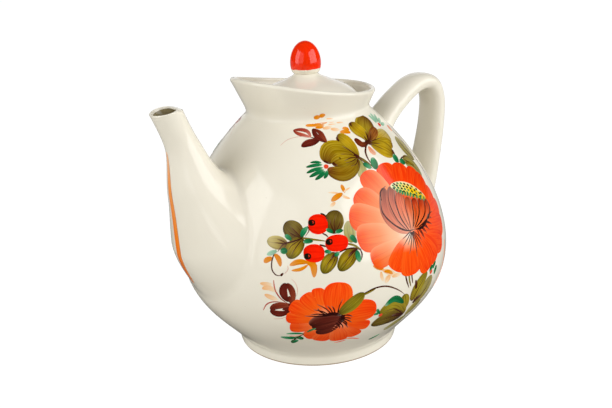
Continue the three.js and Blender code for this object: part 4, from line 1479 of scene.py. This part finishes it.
# Dark red sprigs: leaves drawn as two strokes round a slot of bare glaze, or filled in with one, and
# tendrils as fine as a hair beside them.
maroon = paint(
    (0, "#4A120E", 1), (0.5, "#6A1E16", 1), (0.9, "#5A1812", 1), (1, "#4A1410", 1),
    left=("#380A08", 0.5), right=("#8A3A2C", 0.4),
)
brick = paint(
    (0, "#C8624E", 0.9), (0.5, "#B04232", 1), (1, "#7A1E14", 1), left=("#9A3022", 0.4),
    right=("#D08070", 0.4),
)
pink = paint((0, "#D89A8A", 0.5), (1, "#C87A6A", 0.7))
red_maroon = paint(
    (0, "#8A3A24", 1), (0.5, "#7A2818", 1), (0.9, "#621C12", 1), (1, "#4A120C", 1),
    left=("#4A120C", 0.5), right=("#98482E", 0.4),
)
sprig_groups = {
    "upper_sprig": ((-119, 133), [
        ("leaf", 2.6, brick, [(-4.2, 1.2), (-5.6, 5.0), (-9.1, 6.3), (-13.2, 6.0)]),
        ("leaf", 2.6, brick, [(-4.3, 1.4), (-7.9, 2.7), (-11.0, 4.0), (-13.2, 5.9)]),
        ("leaf", 3.2, maroon, [(3.6, -2.5), (0.5, 0), (-1.7, 2.6), (-2.8, 6.6)]),
        ("leaf", 2.9, red_maroon, [(3.8, -2.3), (2.2, 1.0), (0.8, 4.0), (-2.6, 6.7)]),
        ("leaf", 4.6, maroon, [(0.2, -0.5), (-3.4, -1.6), (-6.8, -2.5), (-10.0, -4.3)]),
        ("line", 0.9, maroon, [(-4.5, 1.3), (-0.2, -0.4), (4.1, -2.8)]),
        ("line", 0.5, pink, [(-21.5, -3.7), (-16.8, 0.1), (-10.4, 1.9), (-4.3, 1.4)]),
    ]),
    "lower_sprig": ((-136, 57), [
        ("lobe", 4.6, maroon, [(-0.6, -1.4), (-2.6, 1.4), (-3.3, 5.2), (-1.5, 9.0)]),
        ("lobe", 3.6, red_maroon, [(1.2, -2.4), (1.8, 1.7), (1.0, 5.8), (-1.2, 9.0)]),
        ("lobe", 4.1, red_maroon, [(0.6, -2.9), (-3.8, -3.8), (-8.0, -4.7), (-11.2, -7.2)]),
        ("lobe", 4.4, maroon, [(-0.4, -6.9), (-4.6, -9.1), (-8.3, -9.4), (-11.3, -7.5)]),
        ("leaf", 2.4, red_maroon, [(1.0, -2.8), (0.3, -0.8), (-0.3, 2.0)]),
        ("leaf", 2.4, maroon, [(1.2, -4.6), (-1.6, -5.6), (-4.6, -6.5)]),
        ("line", 1.8, maroon, [(-1.2, -3.2), (0.9, -3.4), (3.2, -2.1)]),
        ("line", 0.9, brick, [(-8.2, 10.4), (-7.6, 5.0), (-4.9, 0.3), (-1.1, -2.6)]),
        ("line", 0.8, brick, [(-15.3, -8.1), (-12.8, -3.8), (-8.4, -1.9), (-1.2, -2.3)]),
        ("line", 0.5, pink, [(1.1, 11.5), (3.4, 9.1), (4.3, 5.2), (3.6, 1.8)]),
        ("line", 0.6, pink, [(-10.2, -13.4), (-6.2, -12.9), (-2.9, -11.2)]),
        ("line", 0.8, brown, [
            (-6.6, 26.5), (-8.7, 21.1), (-9.0, 16.4), (-7.4, 13.6), (-5.4, 12.9), (-3.3, 13.4)
        ]),
        ("dab", 1.3, brown, [(-4.4, 12.8), (-2.8, 14.4)]),
        ("line", 0.6, pink, [(-0.5, 18.4), (-0.4, 16.1), (-2.4, 13.8)]),
    ]),
}
for name, (place, touches) in sprig_groups.items():
    strokes = [
        brush_stroke(place, shape, width, load, path, layer - 1)
        for layer, (shape, width, load, path) in enumerate(touches)
    ]
    painted_piece(name, strokes, pod_enamel)

# Ochre sprays: quick dabs of thin yellow ochre behind the flowers, pressed down and lifted so that
# each one fades out at its tip. The topmost dabs run up over the crease onto the foot of the collar.
ochre = paint(
    (0, "#DC7C00", 1), (0.5, "#E28602", 1), (1, "#E08602", 0.9), left=("#C46E00", 0.4),
    right=("#EE9C20", 0.4),
)
faint_ochre = paint((0, "#F09C24", 0.8), (0.6, "#F4AC44", 0.55), (1, "#F8C470", 0.25))
spray_groups = {
    "upper_spray": ((-107.5, 140), [
        (2.3, ochre, [(-13.6, -1.3), (-9.4, -1.2), (-3.4, -1.6)]),
        (2.3, ochre, [(-7.7, -1.2), (-11.0, -1.1), (-13.8, -1.5)]),
        (2.2, ochre, [(-8.6, 0.1), (-6.6, 0.2), (-4.9, 0)]),
        (2.2, ochre, [(-5.3, 0.1), (-3.4, 0.2), (-1.4, 0)]),
        (2.0, ochre, [(-9.0, -3.0), (-6.6, -2.9), (-4.2, -2.6)]),
        (2.2, faint_ochre, [(-5.2, -3.9), (-2.6, -3.6), (0.2, -3.2)]),
        (1.0, faint_ochre, [(-0.8, -0.3), (0.8, -0.4), (2.8, -0.2)]),
        (1.0, faint_ochre, [(-1.6, -1.8), (0.7, -1.7), (3.3, -1.9)]),
        (1.1, faint_ochre, [(3.4, -1.2), (5.4, -1.3), (7.7, -1.7)]),
        (2.4, faint_ochre, [(-1.0, -4.6), (1.2, -5.2), (4.0, -5.9)]),
        (2.8, ochre, [(9.8, -8.8), (7.0, -7.5), (3.4, -7.4)]),
        (2.4, ochre, [(9.3, -7.2), (8.0, -5.7), (5.6, -5.2)]),
    ]),
    "middle_spray": ((-114, 107), [
        (2.2, ochre, [(4.1, 1.2), (3.4, 3.9), (2.9, 5.9)]),
        (1.1, faint_ochre, [(7.4, 3.6), (5.1, 2.7), (3.3, 1.6)]),
        (1.1, faint_ochre, [(1.4, 1.0), (-1.6, 1.9), (-4.9, 2.4)]),
        (3.1, ochre, [(2.9, 1.1), (-0.6, -0.4), (-3.8, -2.5)]),
        (2.0, faint_ochre, [(-1.8, -3.1), (-3.3, -4.2), (-4.9, -5.0)]),
        (1.6, faint_ochre, [(6.4, -2.2), (3.7, -1.0), (2.4, 0.4)]),
    ]),
    "lower_spray": ((-135, 78), [
        (3.1, ochre, [(-9.8, 0.9), (-12.7, -0.4), (-14.7, -2.0)]),
        (3.0, ochre, [(-9.0, 2.8), (-6.7, 0.6), (-5.6, -3.6)]),
        (3.1, ochre, [(9.0, -1.3), (3.8, -0.9), (-0.9, -2.8)]),
        (2.0, ochre, [(8.6, -2.6), (4.7, -4.8), (0.0, -5.4)]),
        (3.8, ochre, [(7.5, -0.9), (11.3, -2.8), (11.7, -9.3)]),
        (3.2, faint_ochre, [(-16.2, -16.2), (-12.5, -15.2), (-8.1, -17.2)]),
        (3.0, faint_ochre, [(-15.1, -19.4), (-11.7, -20.6), (-7.7, -22.0)]),
        (2.4, faint_ochre, [(-17.3, -13.4), (-14.0, -13.4), (-10.3, -13.2)]),
    ]),
    "under_spray": ((-100, 66), [
        (2.4, ochre, [(1.4, 1.9), (-1.8, 3.6), (-5.0, 5.4)]),
        (3.0, faint_ochre, [(0.1, 2.1), (4.9, -0.5), (10.1, -4.2)]),
        (3.3, faint_ochre, [(4.9, -2.0), (3.1, -3.6), (1.6, -5.6)]),
        (2.4, faint_ochre, [(6.0, -3.2), (8.9, -3.0), (12.0, -3.2)]),
        (2.2, ochre, [(1.2, 1.0), (4.2, 0.2), (6.6, -1.8)]),
        (2.0, faint_ochre, [(-0.6, 1.4), (-0.4, -1.6), (0.6, -4.4)]),
    ]),
}
ochre_enamel = brushed_enamel(
    "ochre_overglaze_enamel", 1.3, streak="#F4AC30", thin=0.3, shade=0.12, roughness=0.12
)
for name, (place, dabs) in spray_groups.items():
    strokes = [
        brush_stroke(place, "leaf", width, load, path, layer % 6)
        for layer, (width, load, path) in enumerate(dabs)
    ]
    painted_piece(name, strokes, ochre_enamel)

collar_spray_place = (-107.5, 3.7)
collar_skin = np.vstack([crease, [on_flare(5.5)]])
collar_run = run_along(collar_skin)
collar_along = unit(np.gradient(collar_skin, collar_run, axis=0))


def laid_on_collar(place, across, up, lift):
    """Points of the collar's foot, so many millimetres right of a place and above the crease."""
    run = place[1] + up
    radius, bearing, height = laid_at(collar_skin, collar_run, collar_along, run, place, across, lift)
    rise = np.clip(height - collar_base, 0, None) / (collar_height - 2 * collar_lip)
    added = rise * (collar_rise(bearing) - collar_height)
    return round_axis(radius + collar_flare * added, bearing, height + added)


collar_dabs = [
    (2.3, ochre, [(-8.6, -0.6), (-6.8, -0.3), (-4.9, -0.1)]),
    (2.4, ochre, [(-5.6, 0.1), (-4.1, 0.4), (-2.2, 0.7)]),
    (1.0, faint_ochre, [(-1.8, -1.5), (0.4, -1.6), (2.4, -1.9)]),
]
strokes = [
    brush_stroke(collar_spray_place, "leaf", width, load, path, 1 + layer, laid=laid_on_collar)
    for layer, (width, load, path) in enumerate(collar_dabs)
]
painted_piece("collar_spray", strokes, ochre_enamel)

# Spout stripe: one long stroke of thin orange enamel down the front ridge of the spout, drawn from a
# hairline near the mouth to its full width above the root.
stripe_start = (0.24, 3)
spout_run = run_along(spout_centres)[-1]


def laid_on_spout(start, across, up, lift):
    """Points of the spout's skin, from a share of its length and a bearing round it."""
    t = start[0] + up / spout_run
    turn = np.radians(start[1]) + across / through(spout_halves, t)[..., 1]
    place = spout_at(t, turn, -lift)
    return np.stack([pot_axis - place[..., 0], place[..., 1], place[..., 2]], -1)


orange = paint(
    (0, "#F9A050", 0.5), (0.25, "#FC9020", 0.9), (0.6, "#FB7E10", 1), (0.85, "#F4783A", 1),
    (1, "#F08858", 0.8), left=("#EE7010", 0.5), right=("#FDA050", 0.5),
)
brush_shapes["stripe"] = (0.12, 0.72, 1.0, 0.8)
stripe = brush_stroke(
    stripe_start, "stripe", 4.6, orange, [(0.6, 66), (0.2, 44), (0, 22), (0, 0)], 4, laid=laid_on_spout
)
painted_piece("spout_stripe", [stripe], ochre_enamel)

# Far side: the same hand painted the other side with the same motifs, turned the other way round and
# set out a little differently, so that the pot shows a bouquet from either side.
far_turns = {
    "large_flower_petals": 4, "large_flower_pod": 4, "large_flower_seeds": 4, "small_flower_petals": -7,
    "small_flower_pod": -7, "small_flower_leaf": -7, "berries": 5, "berry_leaf": 5, "berry_leaflet": 5,
    "upper_left_leaf": 6, "upper_right_leaf": -3, "edge_leaf": 3, "lower_leaf": 5, "fan_leaflet": 12,
    "upper_leaflet": 6, "mint_leaflet": -3, "lower_leaflet": 5, "twig_leaflet": -9, "upper_sprig": 14,
    "lower_sprig": -8, "upper_spray": 8, "middle_spray": 7, "lower_spray": 4, "under_spray": 3,
}
for name, turn in far_turns.items():
    bpy.ops.object.select_all(action="DESELECT")
    near = bpy.data.objects[name]
    bpy.context.view_layer.objects.active = near
    near.select_set(True)
    bpy.ops.object.duplicate(linked=False)
    far = bpy.context.object
    far.name = far.data.name = "far_" + name
    bpy.ops.object.mode_set(mode="EDIT")
    bpy.ops.mesh.select_all(action="SELECT")
    bpy.ops.transform.resize(value=(1, -1, 1), center_override=(pot_axis * mm, 0, 0))
    bpy.ops.mesh.normals_make_consistent(inside=False)
    bpy.ops.object.mode_set(mode="OBJECT")
    bend = Matrix.Translation((pot_axis * mm, 0, 0)) @ Matrix.Rotation(math.radians(turn), 4, "Z")
    far.data.transform(bend @ Matrix.Translation((-pot_axis * mm, 0, 0)))
    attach(far, "pot")
